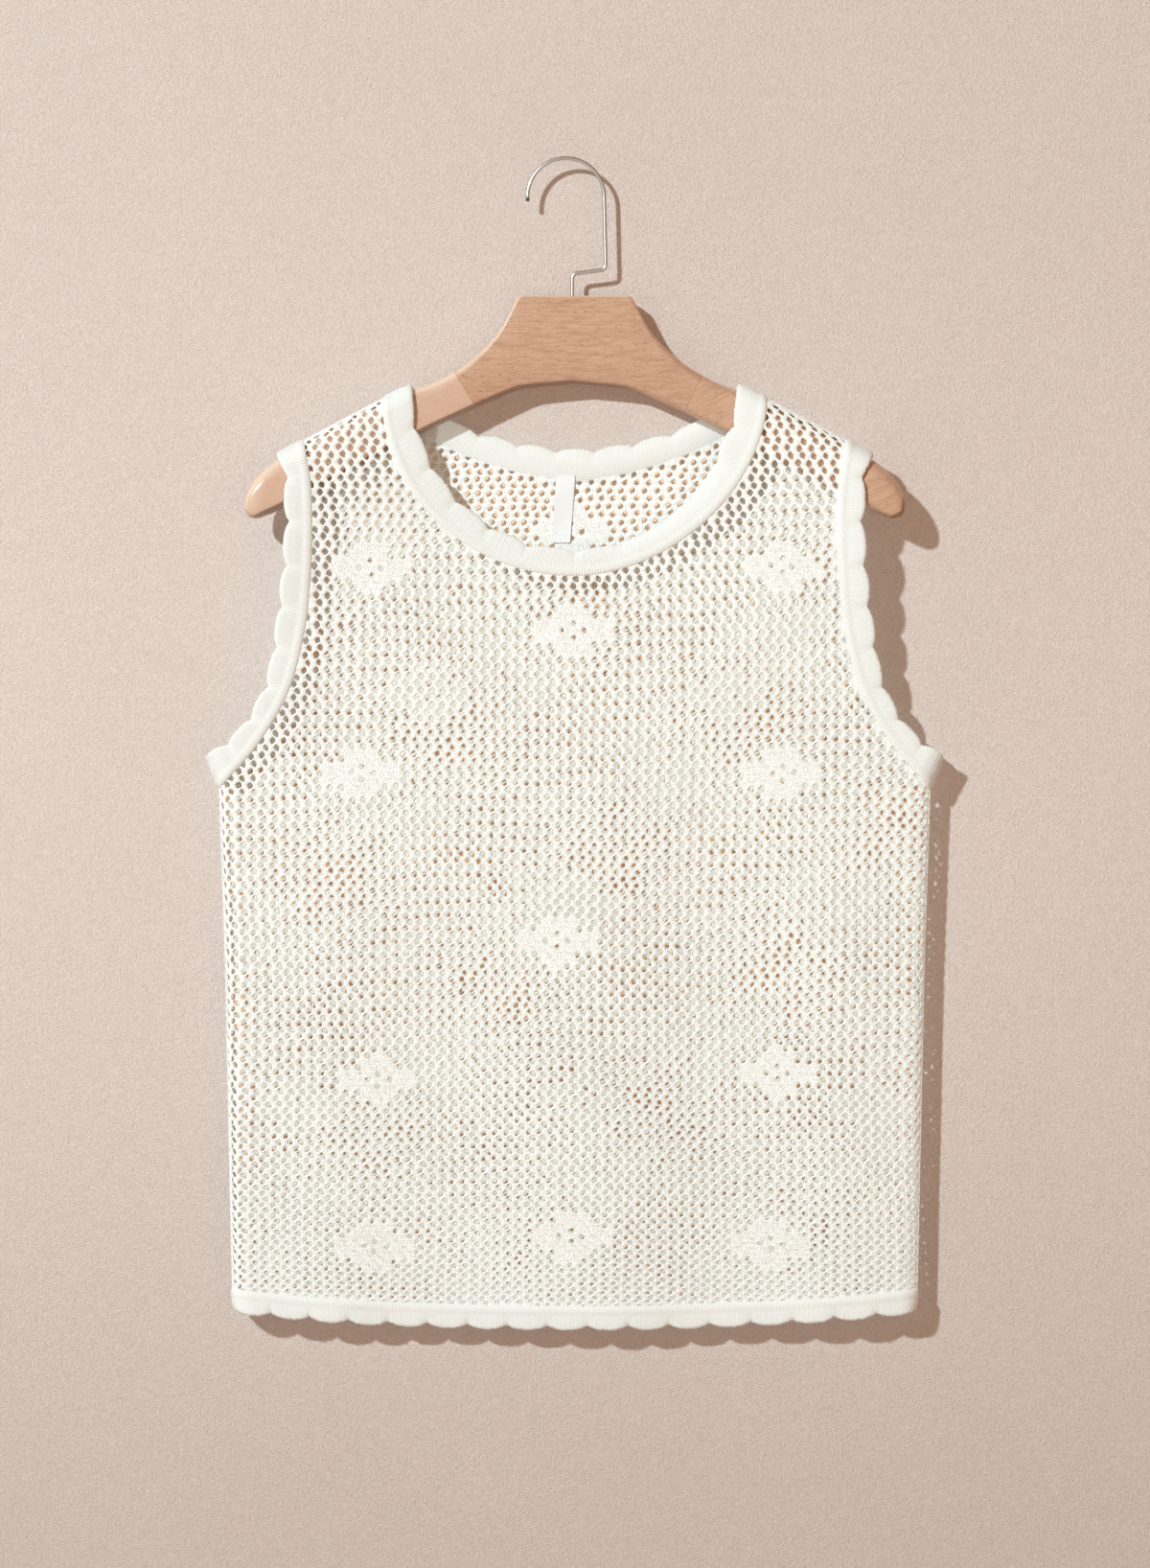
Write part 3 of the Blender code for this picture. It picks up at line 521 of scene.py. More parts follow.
def net_template():
    """Triangles of one cell, as (ring, corner) of each of their corners, and their UVs. Rings: 0 the
    six outer corners in front, 1 the strand's shoulder, 2 the hole, 3 the six outer corners behind."""
    hex_angles = np.array([12.0, 90.0, 168.0, 192.0, 270.0, 348.0])
    ring_angles = np.arange(RING) * 360.0 / RING
    corners = []

    def zipper(outer_ring, outer, inner_ring, inner, outer_v, inner_v, flip):
        def spot(ring, angles, k, v):
            return ring, k % len(angles), angles[k % len(angles)] + 360.0 * (k // len(angles)), v

        i = j = 0
        while i < len(outer) or j < len(inner):
            a, next_a = (spot(outer_ring, outer, k, outer_v) for k in (i - 1, i))
            b, next_b = (spot(inner_ring, inner, k, inner_v) for k in (j - 1, j))
            on_outer = j >= len(inner) or (i < len(outer) and next_a[2] <= next_b[2])
            triangle = (a, next_a if on_outer else next_b, b)
            i, j = i + on_outer, j + (not on_outer)
            corners.append(triangle[::-1] if flip else triangle)

    zipper(0, hex_angles, 1, ring_angles, 1.0, 0.5, False)
    zipper(1, ring_angles, 2, ring_angles, 0.5, 0.0, False)
    zipper(3, hex_angles, 2, ring_angles, 1.0, 0.0, True)
    where = np.array([[spot[:2] for spot in triangle] for triangle in corners])
    uvs = np.array([[(angle / 360.0, v) for _, _, angle, v in triangle] for triangle in corners])
    span = []
    for angle in ring_angles:
        after = int(np.searchsorted(hex_angles, angle)) % 6
        before = (after - 1) % 6
        width = (hex_angles[after] - hex_angles[before]) % 360
        span.append((before, after, ((angle - hex_angles[before]) % 360) / width))
    return where, uvs, np.radians(ring_angles), span


def flower_filled(dx, dz):
    """Whether a cell of a flower is knitted closed: four petals and what lies between them."""
    filled = np.hypot(dx, dz) < 0.0100
    for x, z, width, height in PETALS:
        filled |= ((dx - x) / width) ** 2 + ((dz - z) / height) ** 2 < 1
    return filled


def net_cells():
    """Lattice of the net on the flat cloth."""
    v = [LATTICE_TOP]
    while v[-1] > LATTICE_FOOT:
        v.append(v[-1] - float(np.interp(-v[-1], -np.array(ROWS_AT), ROW_HEIGHT)))
    v = np.array(v)
    gaps = np.concatenate([[v[0] - v[1]], v[:-1] - v[1:], [v[-2] - v[-1]]])  # above each row, and below the last
    pitch = np.interp(-v, -np.array(PITCH_AT), PITCH)
    j, c = np.meshgrid(np.arange(len(v)), np.arange(COLUMNS), indexing="ij")
    odd = j % 2 == 1
    aside = ZIGZAG * pitch[:, None]
    u = (c - COLUMNS // 2) * pitch[:, None] / 2 + PHASE
    joint_u = u + aside * np.where(odd, 1, 2) / 3
    middle = np.stack([u + np.where(odd, aside, 0), np.broadcast_to(v[:, None], u.shape)], -1)
    top = np.stack([joint_u, v[:, None] + (1 - JOINT) * gaps[:-1, None] + 0 * u], -1)
    bottom = np.stack([joint_u, v[:, None] - (1 - JOINT) * gaps[1:, None] + 0 * u], -1)
    return v, gaps, pitch, j, c, middle, top, bottom


def warp(side, points):
    """Slow unevenness of the cloth."""
    u, v = points[..., 0], points[..., 1]
    du = 0.0014 * np.sin(19 * v + 9 * u + 1.0) + 0.0006 * np.sin(47 * u + 39 * v) + 0.0003 * np.sin(230 * v - 90 * u)
    dv = 0.0016 * np.sin(23 * u + 11 * v + 2.0) + 0.0006 * np.sin(61 * v + 43 * u) + 0.0003 * np.sin(250 * u + 70 * v)
    points = points + np.stack([du, dv], -1)
    if side == FRONT:
        return points
    points = (points - (0, BACK_FROM)) * BACK_SCALE + (0, BACK_FROM) + BACK_ASIDE
    u, v = points[..., 0], points[..., 1]
    du = 0.0009 * np.sin(44 * v + 31 * u + 1.0) + 0.0004 * np.sin(140 * u - 120 * v)
    dv = 0.0010 * np.sin(38 * u - 33 * v + 2.0) + 0.0004 * np.sin(150 * v + 110 * u)
    return points + np.stack([du, dv], -1)


def set_flowers(side, v, gaps, pitch, j, c, middle):
    """Which cells are knitted closed and which are a flower's small eyes. Each flower is set on the
    lattice, and the rows beside its middle row move over by half a pitch: moves says how."""
    filled, small = np.zeros(j.shape, bool), np.zeros(j.shape, bool)
    moves = []
    for x, z in FRONT_FLOWERS if side == FRONT else BACK_FLOWERS:
        row = int(np.abs(v - z).argmin())
        spots = c[0][(c[0] + row) % 2 == 0]
        centre = middle[row, spots[np.abs(middle[row, spots, 0] - x).argmin()]]
        dx, dz = middle[..., 0] - centre[0], middle[..., 1] - centre[1]
        shift = (0.5 + ZIGZAG) * pitch[row] * (1 if row % 2 else -1)
        seen = dx.copy()
        for beside in (row - 1, row + 1):
            seen[beside] += shift * (1 - ease((np.abs(dx[beside]) / pitch[row] - 1) / MOVE_FADE))
        near = 0.3 * pitch[row]
        eyes = (np.abs(dz) < 1e-4) & (np.abs(np.abs(seen) - pitch[row]) < near)
        eyes |= (np.abs(j - row) == 1) & (np.abs(seen) < near)
        filled |= flower_filled(seen, dz) & ~eyes
        small |= eyes
        moves.append((centre, pitch[row], gaps[row], shift))
    return filled, small, moves


def moved(points, moves):
    result = points.copy()
    for centre, wide, high, shift in moves:
        dx, dz = points[..., 0] - centre[0], points[..., 1] - centre[1]
        share = np.maximum(0, 1 - np.abs(np.abs(dz) / high - 1))
        fade = 1 - ease((np.abs(dx) / wide - 1) / MOVE_FADE)
        result[..., 0] += shift * fade * share
    return result


def kept_inside(points, outline):
    """Points of holes near an outline, moved in from it where they come too near or are outside."""
    inside, nearest = to_outline(points, outline)
    inward = points - nearest
    inward *= np.where(inside < 0, -1, 1)[:, None] / np.maximum(np.abs(inside), 1e-9)[:, None]
    return np.where((inside < NET_EDGE_INSET)[:, None], nearest + inward * NET_EDGE_INSET, points)


def rim_faces(part, cells, hexes, n_corner, back):
    """The wall round a piece, along the outer edges that only one of its cells has."""
    sides = hexes[np.unique(cells)][:, [0, 1, 1, 2, 2, 3, 3, 4, 4, 5, 5, 0]].reshape(-1, 2)
    lines, times = np.unique(np.sort(sides, axis=1), axis=0, return_counts=True)
    directed = set()
    for triangle in part[(part < n_corner).sum(1) >= 2].tolist():
        directed |= set(zip(triangle, triangle[1:] + triangle[:1]))
    rims = []
    for a, b in lines[times == 1].tolist():
        if (a, b) not in directed:
            a, b = b, a
        rims += [(b, a, back + a), (b, back + a, back + b)]
    return np.array(rims)


def net(side, names, material, replaced):
    """A panel's net, in two pieces that meet along a column of cells near the middle."""
    rng = np.random.default_rng(11 if side == FRONT else 12)
    v, gaps, pitch, j, c, middle, top, bottom = net_cells()
    filled, small, moves = set_flowers(side, v, gaps, pitch, j, c, middle)
    middle, top, bottom = (warp(side, moved(points, moves)) for points in (middle, top, bottom))
    top = top + rng.normal(0, CORNER_JITTER, top.shape)
    bottom = bottom + rng.normal(0, CORNER_JITTER, bottom.shape)
    middle = middle + rng.normal(0, MIDDLE_JITTER, middle.shape)

    outline = net_outline(side)
    used = (j + c) % 2 == 0
    used[[0, -1]] = False
    used[:, [0, -1]] = False
    J, C = j[used], c[used]
    inside, _ = to_outline(middle[J, C], outline)
    keep = inside > -CELL_REACH
    J, C, inside = J[keep], C[keep], inside[keep]
    centres = middle[J, C]
    count = len(J)

    # Outer corners, numbered by the lattice: a cell has its top and bottom, and shares the others
    places = ((1, -1, 1), (0, 0, 0), (1, -1, -1), (0, 1, -1), (1, 0, 0), (0, 1, 1))
    hexes = np.stack([((J + down) * COLUMNS + C + right) * 2 + which for which, down, right in places], 1)
    ids, hexes = np.unique(hexes, return_inverse=True)
    hexes = hexes.reshape(count, 6)
    corners = np.stack([top, bottom], 2).reshape(-1, 2)[ids]
    corner_inside, corner_nearest = to_outline(corners, outline)
    corners = np.where((corner_inside < 0)[:, None], corner_nearest, corners)

    # Holes
    height = -centres[:, 1]
    at = -np.array(ROWS_AT)
    wide, high, lean = (
        np.where(small[J, C], eye, np.where(J % 2 == 0, np.interp(height, at, even), np.interp(height, at, odd)))
        for (even, odd), eye in zip((HOLE_WIDTH, HOLE_HEIGHT, HOLE_LEAN), EYE)
    )
    wide = wide * rng.normal(1, 0.08, count)
    high = high * rng.normal(1, 0.07, count)
    lean = np.radians(lean + rng.normal(0, 6, count))
    jitter = np.full(count, FRONT_JITTER)
    if side == BACK:
        top_share = 1 - ease((height - BACK_TOP_FOOT) / 0.05)
        wide, high, lean, jitter = (
            low * (1 - top_share) + upper * top_share
            for low, upper in zip((wide * 0.92, high * 0.80, lean, BACK_JITTER), BACK_TOP)
        )
    centres = centres + rng.normal(0, 1, centres.shape) * jitter[:, None]
    over = below_shoulder(*centres.T) + over_arm(centres[:, 0]) * (math.pi / 2 - 1)
    closed = filled[J, C] | (inside < 0.45 * wide) | (over < CLOSED_OVER_SHOULDER)
    where, uvs, angle, span = net_template()
    power = np.interp(height, (0.40, 0.56), (1.5, 1.1))[:, None]
    across = wide[:, None] * (np.sign(np.cos(angle)) * np.abs(np.cos(angle)) ** power)
    up = high[:, None] * (np.sign(np.sin(angle)) * np.abs(np.sin(angle)) ** power)
    cos, sin = np.cos(lean)[:, None], np.sin(lean)[:, None]
    hole = centres[:, None] + np.stack([across * cos + up * sin, up * cos - across * sin], -1)
    hex_points = corners[hexes]
    rim = np.stack([hex_points[:, a] * (1 - w) + hex_points[:, b] * w for a, b, w in span], 1)
    near = inside < NET_EDGE_NEAR
    hole[near] = kept_inside(hole[near].reshape(-1, 2), outline).reshape(-1, RING, 2)
    shoulder = hole + 0.48 * (rim - hole)

    # Points and their depths: a strand is round, and a closed cell is flat.
    beside_closed = np.zeros(len(corners))
    np.add.at(beside_closed, hexes[filled[J, C]].ravel(), 1)
    beside_closed = np.clip(beside_closed / 3, 0, 1)
    n_corner = len(corners)
    open_index, closed_index = np.nonzero(~closed)[0], np.nonzero(closed)[0]
    n_open, n_closed = len(open_index), len(closed_index)
    hubs = hex_points[closed_index].mean(1)
    groups = (  # places on the flat cloth, depth, share of painted shade on the net's inner side
        (corners, beside_closed * 0.0004 + rng.normal(0, 0.00006, n_corner), 0.0),
        (shoulder[open_index].reshape(-1, 2), STRAND_DEPTH, 0.0),
        (hole[open_index].reshape(-1, 2), HOLE_DEPTH, 0.6),
        (corners, WALL - 0.0001, 1.0),
        (hubs, 0.00025, 0.0),
        (hubs, WALL - 0.0003, 1.0),
    )
    flat_points = np.vstack([spots for spots, _, _ in groups])
    depth, painted_inner_shade = (
        np.concatenate([np.broadcast_to(group[k], len(group[0])) for group in groups]) for k in (1, 2)
    )
    starts = np.cumsum([0] + [len(spots) for spots, _, _ in groups])
    points = wall_points(side, *hang(flat_points).T, depth, SEAM_GAP / 2)
    points[:, 0] += HANGER_X

    # Faces of the open cells, then of the closed ones
    faces = np.empty((n_open, len(where), 3), int)
    for t, triangle in enumerate(where):
        for k, (ring, corner) in enumerate(triangle):
            own = hexes[open_index, corner] if ring in (0, 3) else np.arange(n_open) * RING + corner
            faces[:, t, k] = starts[ring] + own
    fan = np.empty((n_closed, 12, 3), int)
    fan_uvs = np.empty((12, 3, 2))
    hub = np.arange(n_closed)
    for k in range(6):
        one, other = hexes[closed_index, k], hexes[closed_index, (k + 1) % 6]
        fan[:, k] = np.stack([one, other, starts[4] + hub], 1)
        fan[:, 6 + k] = np.stack([starts[3] + other, starts[3] + one, starts[5] + hub], 1)
        fan_uvs[k] = fan_uvs[6 + k] = ((k / 6, 1), ((k + 1) / 6, 1), (k / 6, 0.6))
    faces = np.vstack([faces.reshape(-1, 3), fan.reshape(-1, 3)])
    face_uvs = np.vstack([np.tile(uvs, (n_open, 1, 1)), np.tile(fan_uvs, (n_closed, 1, 1))])
    cell_of = np.concatenate([np.repeat(open_index, len(where)), np.repeat(closed_index, 12)])
    inner = ((faces >= starts[3]) & (faces < starts[4])).any(1)

    closed_share = np.zeros(len(points))
    closed_share[:n_corner] = closed_share[starts[3] : starts[4]] = beside_closed
    closed_share[starts[4] :] = np.tile(filled[J, C][closed_index], 2)
    if side == BACK:
        # On the back net, the inner side's painted shade is kept to where the front net covers it.
        under, _ = to_outline(flat_points, net_outline(FRONT))
        painted_inner_shade = ease(under / 0.006) * painted_inner_shade
    if (point_normals(points, faces)[:n_corner, 1] * side).mean() < 0:
        faces, face_uvs = faces[:, ::-1], face_uvs[:, ::-1]
    # The two sides of a strand are shaded apart, each a little softer than it is round.
    normals = np.empty((len(faces), 3, 3))
    for chosen, away in ((~inner, side), (inner, -side)):
        soft = point_normals(points, faces[chosen]) + np.array([0, away * SOFTNESS, 0])
        normals[chosen] = unit(soft)[faces[chosen]]

    pieces = []
    left_part = (C < COLUMNS // 2)[cell_of]
    for name, chosen in zip(names, (left_part, ~left_part)):
        rims = rim_faces(faces[chosen], cell_of[chosen], hexes, n_corner, starts[3])
        a, b, c = points[rims].transpose(1, 0, 2)
        rim_normals = np.repeat(unit(np.cross(b - a, c - a))[:, None], 3, axis=1)
        rim_uvs = np.tile(((0, 1), (0.1, 1), (0.1, 0.5)), (len(rims), 1, 1))
        kept, part = np.unique(np.vstack([faces[chosen], rims]), return_inverse=True)
        values = {"closed": closed_share[kept], "inner": painted_inner_shade[kept]}
        part_uvs, part_normals = np.vstack([face_uvs[chosen], rim_uvs]), np.vstack([normals[chosen], rim_normals])
        mesh = knit_mesh(name, points[kept], part.reshape(-1, 3), part_uvs.reshape(-1, 2), part_normals, values)
        pieces.append(place(name, mesh, material, None if pieces else replaced))
    return pieces


# ---------------------------------------------------------------- bands

RIB_PITCH = 0.00142
RIB_RISE = 0.00026
BAND_PROFILE = (  # share of the way to the ridge's foot, raise
    (-0.20, -0.0001),
    (-0.05, 0.0006),
    (0.16, 0.00100),
    (0.42, 0.00122),
    (0.68, 0.00112),
    (0.88, 0.00090),
    (1.00, 0.00082),
)
RIDGE_FOOT = 0.0052
SEAM_RADIUS, SEAM_STITCH = 0.0006, 0.0009


def band_places(curve, most, runs, phase):
    """Places along a band's free edge, half a rib apart, and each one's phase in its scallop."""
    at = np.linspace(0, most, 4001)
    path = lengths_along(curve(at))
    lengths, phases = [0.0], [phase]
    for scallops, pitch in runs:
        lengths.append(lengths[-1] + scallops * pitch)
        phases.append(phases[-1] + scallops)
    lengths = np.array(lengths) * path[-1] / lengths[-1]
    count = max(2, 2 * round(path[-1] / RIB_PITCH))
    where = np.linspace(0, path[-1], count + 1)
    return np.interp(where, path, at), np.interp(where, lengths, phases), where


def lobe(phase):
    return 1 - np.abs(2 * (phase % 1) - 1) ** SCALLOP_POWER


def curl_share(side, x, z):
    if side != FRONT:
        return np.zeros_like(x)
    return ease((CURL_TOP - z) / (CURL_TOP - CURL_FULL)) * ease(x / 0.050)


def band_sheet(side, net_line, edge_line, phases, seam=0.0, curls=False):
    """Closed outlines across a band, one for each place, and how far each point is across it."""
    reach = edge_line - net_line
    width = np.linalg.norm(reach, axis=1)
    out = reach / width[:, None]
    rise = lobe(phases)
    curl = curl_share(side, edge_line[:, 0], edge_line[:, 1]) if curls else np.zeros(len(width))
    free = width + SCALLOP_RISE * rise * (1 - (1 - CURL_SCALLOPS) * curl)
    tuck = CURL_DEPTH * curl
    rib = (np.arange(len(width)) % 2 - 0.5) * 2 * RIB_RISE
    pinch = np.exp(-((np.minimum(phases % 1, 1 - phases % 1) / 0.12) ** 2)) * (1 - curl)
    uneven = np.random.default_rng(len(width)).normal(0, 1, (2, len(width)))
    free = free + 0.00016 * uneven[0]
    columns = [(share * RIDGE_FOOT, raised + rib * ease(0.4 + share)) for share, raised in BAND_PROFILE]
    for share in (0.16, 0.36, 0.56, 0.74, 0.88):
        crown = 0.00055 + 0.00050 * math.sin(math.pi * (0.20 + 0.70 * share)) * (0.6 + 0.4 * rise)
        crown = crown - 0.0011 * pinch * share**1.5 - tuck * share**2 + rib + 0.00005 * uneven[1]
        columns.append((RIDGE_FOOT + (free - RIDGE_FOOT) * share, crown))
    edge = free + rib * 1.1
    columns += [
        (edge - 0.0004, 0.0003 - tuck - 0.0007 * pinch + rib * 0.8),
        (edge, -0.0005 - tuck),
        (edge, -0.0013 - tuck),
        (edge - 0.0006, -WALL - tuck),
        (RIDGE_FOOT + (free - RIDGE_FOOT) * 0.4, -WALL - tuck * 0.16 - rib),
        (0.0004, -WALL),
        (-0.0009, -WALL * 0.55),
    ]
    columns = [np.broadcast_arrays(*column, width)[:2] for column in columns]
    seen = [net_line + out * distance[:, None] for distance, _ in columns]
    points = [wall_points(side, *at.T, -raised, seam) for at, (_, raised) in zip(seen, columns)]
    return np.stack(points, 1), np.stack([distance for distance, _ in columns], 1)


def band_part(side, path_side, line, most, runs, phase, curls):
    """Part of a band, where line(at) is the net's edge and line(at, True) the band's free one."""

    def free_edge(at):
        return wall_points(path_side, *line(at, True).T, np.zeros(len(at)))

    at, phases, path = band_places(free_edge, most, runs, phase)
    return (*band_sheet(side, line(at), line(at, True), phases, curls=curls), path)


def neck_part(side, hand):
    return band_part(side, side, partial(neck_point, side, hand), 1, NECK_RUNS[side], 0.0, True)


def armhole_part(side, hand):
    line = partial(armhole_point, hand)
    return band_part(side, FRONT, line, len(ARMHOLE) - 1, ARMHOLE_RUNS, 0.5, False)


def ring_of(parts):
    """Closed ring of sections; each part is (part, whether it is turned round)."""
    points, across, along = [], [], []
    start = 0.0
    for (p, a, path), turned in parts:
        if turned:
            p, a, path = p[::-1], a[::-1], path[-1] - path[::-1]
        points.append(p[:-1])
        across.append(a[:-1])
        along.append(start + path[:-1])
        start += path[-1]
    return np.vstack(points), np.vstack(across), np.concatenate(along), True, start


def strip_mesh(name, points, across, along, closed, whole):
    """Mesh through sections, with UVs in ribs along it and in rib pitches across it."""
    rows, columns = points.shape[:2]
    index = np.arange(rows * columns).reshape(rows, columns)
    i, k = np.meshgrid(np.arange(rows if closed else rows - 1), np.arange(columns), indexing="ij")
    long = np.append(along, whole)
    spots = []
    for down, right in ((0, 0), (0, 1), (1, 1), (1, 0)):
        at = (i + down) % rows, (k + right) % columns
        spots.append((index[at], np.stack([long[i + down] / RIB_PITCH, across[at] / RIB_PITCH], -1)))
    faces, uvs = (
        np.stack([np.stack([spots[n][part] for n in ns], 2) for ns in ((0, 1, 2), (0, 2, 3))], 2) for part in (0, 1)
    )
    faces, uvs = faces.reshape(-1, 3), uvs.reshape(-1, 3, 2)
    if not closed:
        caps = []
        for row, flip in ((0, True), (rows - 1, False)):
            for k in range(1, columns - 1):
                triangle = [index[row, 0], index[row, k], index[row, k + 1]]
                caps.append(triangle[::-1] if flip else triangle)
        faces = np.vstack([faces, caps])
        uvs = np.vstack([uvs, np.tile(((0, 0), (0.5, 0), (0.5, 0.5)), (len(caps), 1, 1))])
    points = points.reshape(-1, 3).copy()
    points[:, 0] += HANGER_X
    a, b, c = points[faces].transpose(1, 0, 2)
    if (np.cross(a, b) * c).sum() < 0:
        faces, uvs = faces[:, ::-1], uvs[:, ::-1]
    return knit_mesh(name, points, faces, uvs.reshape(-1, 2))


def hem_strip(side):
    count = 2 * round(2 * side_x(HEM_NET_Z) / RIB_PITCH)
    share = np.linspace(-1, 1, count + 1)
    phase = np.linspace(0, HEM_SCALLOPS, count + 1)  # even along the skewed share
    share = share - HEM_SKEW * (1 - share**2)
    lines = []
    for middle_z in (HEM_NET_Z, HEM_EDGE_Z):
        x = side_x(hem_z(SIDE_SEAM[0][0], middle_z)) * share
        lines.append(np.stack([x, hem_z(x, middle_z)], -1))
    along = lengths_along(lines[1])
    return (*band_sheet(side, *lines, phase, seam=SEAM_GAP / 2), along, False, along[-1])


def bands(material):
    """The bands, each with the length of its free edge."""
    neck = [((BACK, LEFT), True), ((FRONT, LEFT), False), ((FRONT, RIGHT), True), ((BACK, RIGHT), False)]
    strips = [("neck_rib", "neck_band", ring_of([(neck_part(*where), turned) for where, turned in neck]))]
    for hand, word in ((LEFT, "left"), (RIGHT, "right")):
        parts = [(armhole_part(FRONT, hand), False), (armhole_part(BACK, hand), True)]
        strips.append((f"armhole_rib_{word}", f"armhole_band_{word}", ring_of(parts)))
    for side, word in ((FRONT, "front"), (BACK, "back")):
        strips.append((f"hem_rib_{word}", f"hem_band_{word}", hem_strip(side)))
    return {
        name: (place(name, strip_mesh(name, *strip), material, node), strip[-1])
        for name, node, strip in strips
    }


# ---------------------------------------------------------------- materials


class Number:
    """A number, colour or place that a material's nodes work out, with the usual signs for sums."""

    def __init__(self, tree, socket):
        self.tree, self.socket = tree, socket

    def maths(self, operation, *others):
        return add(self.tree, "Math", {"operation": operation}, dict(enumerate((self, *others))))

    __add__ = partialmethod(maths, "ADD")
    __sub__ = partialmethod(maths, "SUBTRACT")
    __mul__ = partialmethod(maths, "MULTIPLY")
    __abs__ = partialmethod(maths, "ABSOLUTE")

    def __rsub__(self, other):
        return add(self.tree, "Math", {"operation": "SUBTRACT"}, {0: other, 1: self})

    def wave(self):
        """Sine of this many turns."""
        return (self * (2 * math.pi)).maths("SINE")

    def ramp(self, low, high):
        """0 at low to 1 at high, smoothly."""
        inputs = {"Value": self, "From Min": low, "From Max": high}
        return add(self.tree, "MapRange", {"interpolation_type": "SMOOTHSTEP"}, inputs)

    def noise(self, scale, detail=2.0, roughness=0.5):
        inputs = {"Vector": self, "Scale": scale, "Detail": detail, "Roughness": roughness}
        return add(self.tree, "TexNoise", None, inputs, "Fac")

    def mapped(self, **inputs):
        return add(self.tree, "Mapping", None, {"Vector": self, **inputs})

    def parts(self):
        """x, y and z."""
        x = add(self.tree, "SeparateXYZ", None, {"Vector": self})
        return [Number(self.tree, socket) for socket in x.socket.node.outputs]

    def between(self, a, b):
        """The colour at this share of the way from a to b."""
        a, b = ((*colour, 1) if isinstance(colour, tuple) else colour for colour in (a, b))
        return add(self.tree, "Mix", {"data_type": "RGBA"}, {0: self, 6: a, 7: b}, 2)

    def mixed(self, share, colour):
        """This colour with a share of another."""
        inputs = {0: share, 6: self, 7: (*colour, 1)}
        return add(self.tree, "Mix", {"data_type": "RGBA"}, inputs, 2)


def add(tree, kind, settings=None, inputs=None, output=0):
    """An output of a new node with its settings, and its inputs set or linked."""
    node = tree.nodes.new("ShaderNode" + kind)
    for key, value in (settings or {}).items():
        setattr(node, key, value)
    for key, value in (inputs or {}).items():
        if isinstance(value, Number):
            tree.links.new(value.socket, node.inputs[key])
        else:
            node.inputs[key].default_value = value
    return Number(tree, node.outputs[output])


def new_material(name, **constants):
    """A material, and the place on the object, in metres, that its nodes start from."""
    material = bpy.data.materials.new(name)
    material.use_nodes = True
    for key, value in constants.items():
        material.node_tree.nodes["Principled BSDF"].inputs[key.replace("_", " ")].default_value = value
    return material, add(material.node_tree, "TexCoord", output="Object")


def finished(material, base, roughness, height, strength, distance):
    tree = material.node_tree
    bump = add(tree, "Bump", None, {"Strength": strength, "Distance": distance, "Height": height})
    for key, value in (("Base Color", base), ("Roughness", roughness), ("Normal", bump)):
        tree.links.new(value.socket, tree.nodes["Principled BSDF"].inputs[key])
    return material


def knit_uv(tree):
    return add(tree, "UVMap", {"uv_map": "knit"}).parts()[:2]


def net_material():
    material, place_at = new_material("net_knit_yarn", Roughness=0.9, **YARN_SHEEN)
    tree = material.node_tree
    turn, radial = knit_uv(tree)
    closed, inner = (add(tree, "Attribute", {"attribute_name": name}, None, "Fac") for name in ("closed", "inner"))
    # twisted yarn round the hole; its grooves carry painted shade
    twist = (turn * STITCHES + radial * 0.9).wave() * 0.5 + 0.5
    # fine stitches of the closed cells
    dots = place_at.noise(820, 2, 0.6).ramp(0.50, 0.66) * closed
    fuzz = place_at.noise(FUZZ)
    # pinhole where two strands cross beside a hole, painted as a dark dot of shade
    pin = (1 - abs(turn.wave()).ramp(0.02, 0.16)) * radial.ramp(0.86, 0.99) * (1 - closed)
    base = place_at.noise(14).between((0.955, 0.955, 0.93), (0.975, 0.975, 0.955))
    # painted shade: the cloth's inner side, inside the garment, is tinted darker, the more so lower down
    inside = place_at.parts()[2].ramp(-0.60, -0.38).between((0.90, 0.845, 0.76), (0.92, 0.87, 0.79))
    base = inner.between(base, inside)
    # painted shade towards the hole's edge, where the strand rounds down into the hole
    base = base.mixed((1 - radial.ramp(0.0, 0.55)) * 0.55 * (1 - closed), (0.66, 0.60, 0.50))
    # painted shade in the grooves of the twist
    base = base.mixed((1 - twist) * 0.20, (0.72, 0.68, 0.60))
    # painted shade in the pinhole
    base = base.mixed(pin * 0.75, (0.44, 0.37, 0.28))
    base = base.mixed(dots * 0.45, (0.66, 0.61, 0.52))
    return finished(material, base, fuzz * 0.12 + 0.82, fuzz * 0.35 + (twist - pin) - dots, 0.8, 0.00022)


def rib_material():
    material, place_at = new_material("rib_knit_yarn", Roughness=0.88, **YARN_SHEEN)
    along, across = knit_uv(material.node_tree)
    # each rib is a row of V stitches
    stitch = (across * 1.1 + abs(along.maths("FRACT") - 0.5)).wave()
    fuzz = place_at.noise(FUZZ)
    height = fuzz * 0.45 + (stitch * 0.22 + along.wave() * 0.4)
    base = place_at.noise(18).between((0.890, 0.890, 0.865), (0.915, 0.915, 0.895))
    # painted shade: darker where the ribs and stitches are low
    base = base.mixed(height * -0.60 + 0.34, (0.64, 0.61, 0.54))
    return finished(material, base, fuzz * 0.12 + 0.80, height, 0.7, 0.00020)


def label_material():
    material, place_at = new_material("label_satin", Roughness=0.45, Sheen_Weight=0.2)
    x, _, z = place_at.parts()
    weave = (x * (1 / LABEL_WARP)).wave() * (z * (1 / LABEL_WEFT)).wave()
    base = place_at.noise(60).between((0.84, 0.84, 0.85), (0.88, 0.88, 0.88))
    return finished(material, base, weave * 0.05 + 0.45, weave, 0.4, 0.00006)


